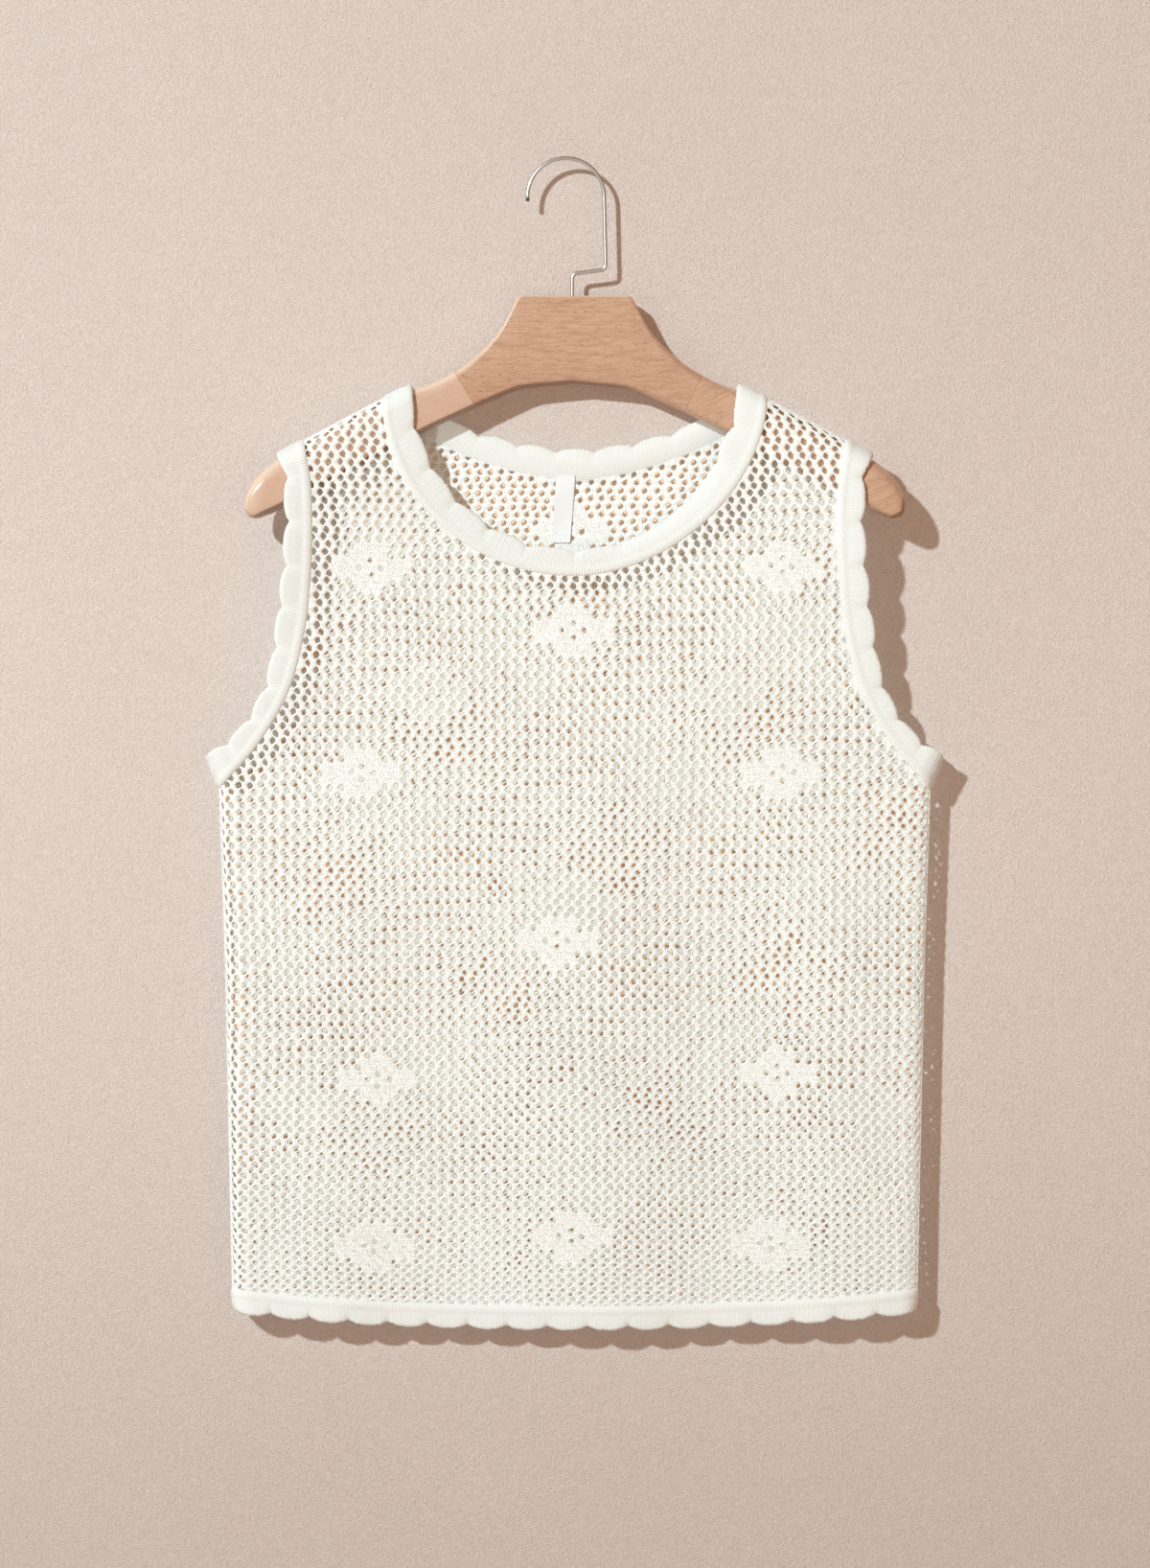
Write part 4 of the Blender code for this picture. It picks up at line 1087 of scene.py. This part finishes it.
def wood_material():
    """Beech in three glued pieces, each with its own grain direction and tone."""
    material, place_at = new_material("beech_wood", Roughness=0.42, Coat_Weight=0.35, Coat_Roughness=0.22)
    tree = material.node_tree
    x, _, z = place_at.parts()
    # slanted glue lines
    left_line = z * 0.60 + (x + 0.1495)
    right_line = z * -0.50 + (x - 0.1530)
    is_left, is_right = left_line.maths("LESS_THAN", 0.0), right_line.maths("GREATER_THAN", 0.0)
    vector = place_at
    for mask, angle, move in ((is_left, -27.0, 3.1), (is_right, 27.0, 5.3)):
        other = place_at.mapped(Rotation=(0, math.radians(angle), 0), Location=(move, move, 0))
        vector = add(tree, "Mix", {"data_type": "VECTOR"}, {0: mask, 4: vector, 5: other}, 1)
    long = vector.mapped(Scale=(0.10, 1.0, 1.0))
    streaks = long.noise(680, 4, 0.75)
    flecks = vector.mapped(Scale=(0.22, 1.0, 1.0)).noise(1500, 1, 0.5).ramp(0.60, 0.72)
    rings = 1 - abs((long.noise(26, 1, 0.4) * 7.0).maths("FRACT") - 0.5).ramp(0.0, 0.07)
    glue = 1 - abs(left_line).maths("MINIMUM", abs(right_line)).ramp(0.00015, 0.00055)
    base = long.noise(70, 3, 0.55).ramp(0.30, 0.70).between((0.560, 0.327, 0.210), (0.599, 0.361, 0.238))
    base = base.mixed(streaks.ramp(0.43, 0.62) * 0.58, (0.42, 0.21, 0.12))
    base = base.mixed(rings * 0.28, (0.38, 0.18, 0.10))
    base = base.mixed(flecks * 0.60, (0.30, 0.14, 0.07))
    base = base.mixed(is_left * 0.68 + is_right * 0.06, (0.679, 0.457, 0.339))
    # painted highlight on edges facing up and to the left, towards the key light, and painted shade on faces turned
    # down and to the right, the underside among them
    out_x, _, out_z = add(tree, "NewGeometry", output="Normal").parts()
    base = base.mixed((out_z - out_x).ramp(0.45, 0.85) * 0.50, (0.90, 0.72, 0.56))
    base = base.mixed((out_x - out_z).ramp(0.45, 0.85) * 0.65, (0.16, 0.075, 0.04))
    base = base.mixed(glue * 0.55, (0.34, 0.17, 0.09))
    return finished(material, base, streaks * 0.16 + 0.34, streaks * 0.6 - (flecks + glue), 0.35, 0.00012)


def steel_material():
    material, place_at = new_material("steel_wire_bright", Metallic=1.0, Roughness=0.28)
    drawn = place_at.mapped(Scale=(1.0, 1.0, 0.15)).noise(2600, 2, 0.6)
    x, _, z = place_at.parts()
    # painted shade on the wire's cut end
    painted_tip_shade = x.maths("LESS_THAN", -0.0215) * z.maths("LESS_THAN", -0.0236)
    grazing = add(material.node_tree, "LayerWeight", None, {"Blend": 0.5}, "Facing")
    base = place_at.noise(90).between((0.60, 0.60, 0.60), (0.78, 0.78, 0.78))
    # painted shade on the wire's rims, seen at a grazing angle
    base = base.mixed(grazing.ramp(0.30, 0.62) * 0.85, (0.13, 0.12, 0.12))
    base = base.mixed(painted_tip_shade * 0.85, (0.08, 0.05, 0.04))
    return finished(material, base, drawn * 0.20 + 0.20, drawn, 0.25, 0.00004)


def plaster(name, shade):
    """The wall's material, which is clear from behind. The painted shade is seen by the camera alone, and not at a
    grazing angle."""
    material = bpy.data.materials.new(name)
    material.use_nodes = True
    tree = material.node_tree
    tree.nodes.clear()
    place_at = add(tree, "TexCoord", output="Object")
    height = place_at.parts()[2]
    grain = place_at.noise(1150, 2, 0.7)
    behind = add(tree, "NewGeometry", output="Backfacing")
    if shade:
        # painted shade: the patch's warm brown stands in for the wall in the net's shade, lighter near the neckline
        base = height.ramp(-0.31, -0.24).between((0.95, 0.48, 0.26), (1.0, 0.64, 0.42))
        grazing = add(tree, "LayerWeight", None, {"Blend": 0.5}, "Facing").maths("GREATER_THAN", 0.35)
        behind = behind.maths("MAXIMUM", grazing)
        unseen = 1 - add(tree, "LightPath", output="Is Camera Ray")
    else:
        base = place_at.noise(5, 3).between((0.850, 0.728, 0.674), (0.898, 0.777, 0.721))
        # painted shade: the wall darker towards the bottom, and a little towards the top
        base = base.mixed((1 - height.ramp(-0.95, -0.42)) * 0.23, (0.34, 0.25, 0.20))
        base = base.mixed(height.ramp(-0.30, 0.10) * 0.10, (0.34, 0.25, 0.20))
        base = grain.ramp(0.30, 0.66).between(base.mixed(0.28, (0.37, 0.24, 0.17)), base)
        base = base.mixed(place_at.noise(420, 2, 0.7).ramp(0.60, 0.72) * 0.12, (0.40, 0.26, 0.18))
        unseen = add(tree, "LightPath", output="Is Shadow Ray")
    bump = add(tree, "Bump", None, {"Strength": 1.0, "Distance": 0.0013, "Height": grain})
    front = add(tree, "BsdfDiffuse", None, {"Color": base, "Normal": bump})
    clear = add(tree, "BsdfTransparent")
    both = add(tree, "MixShader", None, {0: unseen.maths("MAXIMUM", behind), 1: front, 2: clear})
    output = tree.nodes.new("ShaderNodeOutputMaterial")
    tree.links.new(both.socket, output.inputs["Surface"])
    return material


# ---------------------------------------------------------------- hanger, hook, label


def smooth_loft(name, sections, sharp=50):
    bm = bmesh.new()
    rings = [[bm.verts.new(point) for point in section] for section in sections]
    for one, other in zip(rings, rings[1:]):
        for k in range(len(one)):
            bm.faces.new((one[k - 1], one[k], other[k], other[k - 1]))
    bm.faces.new(rings[0])
    bm.faces.new(rings[-1])
    bmesh.ops.recalc_face_normals(bm, faces=bm.faces)
    mesh = bpy.data.meshes.new(name)
    bm.to_mesh(mesh)
    bm.free()
    mesh.shade_smooth()
    mesh.set_sharp_from_angle(angle=math.radians(sharp))
    return mesh


def hanger_section(x, top, foot, half_depth, top_rounding):
    y = float(forward(x, 0.0))
    upright = top_rounding * (1 + (1 / SHOULDER_COS - 1) * min(abs(x) / HANGER_HOLDS_FROM, 1))
    points = []
    for back, level, across, up, above in (
        (1, foot, 0.0040, 0.0040, -1),
        (1, top, top_rounding, upright, 1),
        (-1, top, top_rounding, upright, 1),
        (-1, foot, 0.0040, 0.0040, -1),
    ):
        across = min(across, half_depth * 0.96)
        up = min(up, (top - foot) * 0.48)
        angles = np.linspace(0, math.pi / 2, 8)
        if back * above < 0:
            angles = angles[::-1]
        for angle in angles:
            along_y = back * (half_depth - across * (1 - math.cos(angle)))
            along_z = level - above * up * (1 - math.sin(angle))
            points.append((x + HANGER_X, y + along_y, along_z))
    return points


def hanger():
    evenly = [*np.linspace(0, 0.186, 70).tolist(), *np.linspace(0.186, HANGER[-1][0], 16).tolist()]
    half = sorted({*evenly, *(row[0] for row in HANGER)})
    xs = [-x for x in reversed(half[1:])] + half
    rows = table_at(HANGER, np.abs(xs))
    mesh = smooth_loft("hanger_wood", [hanger_section(x, *values) for x, values in zip(xs, rows)])
    return place("hanger_wood", mesh, wood_material(), "hanger")


def bend_points(before, corner, after, steps=8):
    before, corner, after = (np.array(point, float) for point in (before, corner, after))
    to_before, to_after = unit(before - corner), unit(after - corner)
    half_angle = math.acos(float(np.dot(to_before, to_after))) / 2
    reach = HOOK_BEND / math.tan(half_angle)
    start, end = corner + to_before * reach, corner + to_after * reach
    middle = corner + unit(to_before + to_after) * (HOOK_BEND / math.sin(half_angle))
    sweep = math.pi - 2 * half_angle
    points = []
    for share in np.linspace(0, 1, steps + 1):
        mixed = (start - middle) * math.sin((1 - share) * sweep) + (end - middle) * math.sin(share * sweep)
        points.append(middle + unit(mixed) * HOOK_BEND)
    return points


def hook():
    centre_z = -(HOOK_RADIUS - WIRE_RADIUS)
    foot = (HOOK_ELBOW[0], STEM_FOOT)
    route = [foot]
    route += bend_points(foot, HOOK_ELBOW, HOOK_KNEE)
    route += bend_points(HOOK_ELBOW, HOOK_KNEE, (HOOK_RADIUS, centre_z))
    for angle in np.linspace(0, math.pi, 49):
        route.append((HOOK_RADIUS * math.cos(angle), centre_z + HOOK_RADIUS * math.sin(angle)))
    route = np.array([*route, (-HOOK_RADIUS, centre_z - HOOK_TIP_DROP)])
    tangent = unit(np.gradient(route, axis=0))
    ends = [(at, along, 1.0) for at, along in zip(route[:-1], tangent)]
    ends += [(route[-1] - tangent[-1] * back, tangent[-1], size) for back, size in HOOK_TIP]
    sections = []
    for at, along, size in ends:
        ring = []
        for angle in 2 * math.pi * np.arange(16) / 16:
            out = np.array((-along[1], along[0])) * math.cos(angle) * WIRE_RADIUS * size
            ring.append((at[0] + out[0], math.sin(angle) * WIRE_RADIUS * size, at[1] + out[1]))
        sections.append(ring)
    mesh = smooth_loft("hook_wire", sections)
    return place("hook_wire", mesh, steel_material(), "hanger_hook")


def label():
    near, far = WALL + SEAM_GAP, WALL + SEAM_GAP + LABEL_WALL
    sections = []
    for share in np.linspace(0, 1, 25):
        z = LABEL_TOP + (LABEL_FOOT - LABEL_TOP) * share
        xs = np.linspace(*(top + (foot - top) * share for top, foot in zip(LABEL_TOP_X, LABEL_FOOT_X)), 9)
        wave = 0.00025 * np.sin(5.2 * share + np.linspace(0, 2, 9)) * ease(share * 4)
        outer = wall_points(BACK, xs, np.full(9, z), far - 0.0006 + wave)
        inner = wall_points(BACK, xs[::-1], np.full(9, z), near + wave[::-1])
        section = np.vstack([inner, outer])
        section[:, 0] += HANGER_X
        sections.append([tuple(point) for point in section])
    mesh = smooth_loft("label_tape", sections, 60)
    return place("label_tape", mesh, label_material(), "neck_label")


def seam_cord(name, line, material):
    """Narrow sewn ridge along a seam; line holds points of the hung cloth."""
    path = lengths_along(line)
    count = int(path[-1] / SEAM_STITCH)
    at = np.linspace(0, path[-1], count)
    line = np.stack([np.interp(at, path, line[:, k]) for k in range(3)], -1)
    along = unit(np.gradient(line, axis=0))
    front = np.cross(along, np.array([1.0, 0, 0]) if abs(along[len(along) // 2, 0]) < 0.7 else np.array([0, 0, 1.0]))
    front = unit(front)
    other = np.cross(along, front)
    sections = []
    for k in range(count):
        size = SEAM_RADIUS * (1.0 + 0.16 * (-1) ** k + 0.22 * math.sin(1.45 * k))
        if k in (0, count - 1):
            size *= 0.6
        ring = []
        for step in range(8):
            angle = 2 * math.pi * (step + 0.5 * (k % 2)) / 8
            point = line[k] + (front[k] * math.cos(angle) * 1.5 + other[k] * math.sin(angle) * 0.8) * size
            ring.append((point[0] + HANGER_X, point[1], point[2]))
        sections.append(ring)
    return place(name, smooth_loft(name, sections, 80), material)


# ---------------------------------------------------------------- scene


def stage():
    wall = add_object("wall_and_floor", bpy.data.meshes.new("wall_and_floor"))
    near, far = WALL_Y - FLOOR_DEPTH, WALL_Y
    corners = [(-ROOM, near, FLOOR_Z), (ROOM, near, FLOOR_Z), (ROOM, far, FLOOR_Z), (-ROOM, far, FLOOR_Z)]
    corners += [(-ROOM, far, FLOOR_Z), (ROOM, far, FLOOR_Z), (ROOM, far, WALL_TOP), (-ROOM, far, WALL_TOP)]
    wall.data.from_pydata(corners, [], [(0, 1, 2, 3), (4, 5, 6, 7)])
    wall.data.materials.append(plaster("plaster", False))

    # The wall close behind the net is in its shade, where the light is warmer; a patch just before the wall paints
    # that warm shade.
    line = hang(net_outline(BACK))
    along = unit(np.roll(line, -1, axis=0) - np.roll(line, 1, axis=0))
    line = line + np.stack([along[:, 1], -along[:, 0]], -1) * SHADE_INSET
    bm = bmesh.new()
    bm.faces.new([bm.verts.new((x + HANGER_X, WALL_Y - SHADE_LIFT, z)) for x, z in line])
    bmesh.ops.recalc_face_normals(bm, faces=bm.faces)
    bm.faces.ensure_lookup_table()
    if bm.faces[0].normal.y > 0:
        bm.faces[0].normal_flip()
    bmesh.ops.triangulate(bm, faces=bm.faces)
    shade = add_object("wall_shade", bpy.data.meshes.new("wall_shade"))
    bm.to_mesh(shade.data)
    bm.free()
    shade.data.materials.append(plaster("plaster_shade", True))
    return wall, shade


def linked(name, objects, included):
    """Group that a lamp's light or shadow is kept to, or kept from."""
    group = bpy.data.collections.new(name)
    for obj in objects:
        group.objects.link(obj)
    for item in group.collection_objects:
        item.light_linking.link_state = "INCLUDE" if included else "EXCLUDE"
    return group


def light(name, place_at, energy, size, colour):
    data = bpy.data.lights.new(name, "AREA")
    data.shape, data.energy, data.size, data.color = "DISK", energy, size, colour
    obj = add_object(name, data)
    obj.location = place_at
    obj.rotation_euler = (LIGHTS_AIM - Vector(place_at)).to_track_quat("-Z", "Y").to_euler()
    return obj


def camera():
    data = bpy.data.cameras.new("camera")
    data.sensor_fit = "VERTICAL"
    data.sensor_height = 24
    data.angle = 2 * math.atan(VIEW_HEIGHT / 2 / CAMERA_DISTANCE)
    data.clip_end = 20
    obj = add_object("camera", data)
    obj.location = (0.0057, -CAMERA_DISTANCE, -0.3906)
    obj.rotation_euler = (math.pi / 2, 0, 0)
    bpy.context.scene.camera = obj


def lights(front_nets, back_nets, wall_and_hook, wood, shade):
    """Lamps. Loose yarn lets most of the key light through, so the key is split: part of it throws
    every shadow, and part isn't held up by the front net, where it falls on knit or on wood."""
    free = linked("not_held_up_by_front_net", front_nets, False)
    freer = linked("not_held_up_by_front_net_or_hanger", front_nets + wood, False)
    freest = linked("not_held_up_by_nets", front_nets + back_nets, False)
    knit_share = THROUGH_YARN - THROUGH_TO_WOOD
    keys = (  # name, share, what it is kept to or from, whether to, what doesn't hold it up
        ("key", 1 - THROUGH_YARN, None, True, None),
        ("key_through_to_all", THROUGH_TO_WOOD, wall_and_hook, False, free),
        ("key_through_to_knit", knit_share, wall_and_hook + wood, False, freer),
        ("key_on_shade", THROUGH_TO_SHADE, shade, True, freest),
        ("key_on_wall", THROUGH_TO_WOOD, wall_and_hook, True, None),
        ("key_on_wall_and_wood", knit_share, wall_and_hook + wood, True, None),
    )
    for step, (name, share, lit, included, blocked) in enumerate(keys):
        lamp = light(name, KEY_AT + step * KEY_STEP, KEY_POWER * share, KEY_SIZE, KEY_COLOUR)
        if lit:
            lamp.light_linking.receiver_collection = linked(name + "_lit", lit, included)
        if blocked:
            lamp.light_linking.blocker_collection = blocked
    light("fill", (1.3, -2.4, -0.5), 9.4, 2.2, (1.0, 0.72, 0.50))
    light("behind", (0.6, 2.6, 0.5), 34, 2.0, (0.84, 0.94, 1.0))
    world = bpy.data.worlds.new("studio")
    world.use_nodes = True
    background = world.node_tree.nodes["Background"]
    background.inputs["Color"].default_value = (1.0, 0.67, 0.43, 1)
    background.inputs["Strength"].default_value = 0.30
    bpy.context.scene.world = world
    bpy.context.scene.view_settings.view_transform = "Standard"


def cloth_area(piece):
    """Area of the cloth, of which the mesh has both sides."""
    return sum(face.area for face in piece.data.polygons) / 2


def main():
    wall, shade = stage()
    camera()
    net_yarn, rib_yarn = net_material(), rib_material()
    fronts = net(FRONT, ("net_front_left", "net_front_right"), net_yarn, "front_panel")
    backs = net(BACK, ("net_back_left", "net_back_right"), net_yarn, "back_panel")
    made = bands(rib_yarn)
    wood = hanger()
    lights(fronts, backs, [wall, hook()], [wood], [shade])
    tape = label()
    sides = np.linspace(ARMPIT_Z - 0.001, float(hem_z(SIDE_SEAM[0][0], HEM_NET_Z)), 90)
    shoulders = np.linspace(NECK_NET_X + 0.001, ARMHOLE[0][0] - 0.001, 40)
    for hand, word in ((LEFT, "left"), (RIGHT, "right")):
        for seam, x, z in (("side", side_x(sides), sides), ("shoulder", shoulders, shoulder_z(shoulders))):
            line = np.stack([hand * x, forward(hand * x, z), z], -1)
            seam_cord(f"{seam}_seam_{word}", line, rib_yarn)
    for side, halves in ((FRONT, fronts), (BACK, backs)):
        outline = net_outline(side)
        x, z = outline.T
    for name, (piece, length) in made.items():
        under = ["hanger_wood"]
        if name.startswith("hem"):
            under = [cloth.name for cloth in (fronts if "front" in name else backs)]
        cloth_area(piece) / length


main()
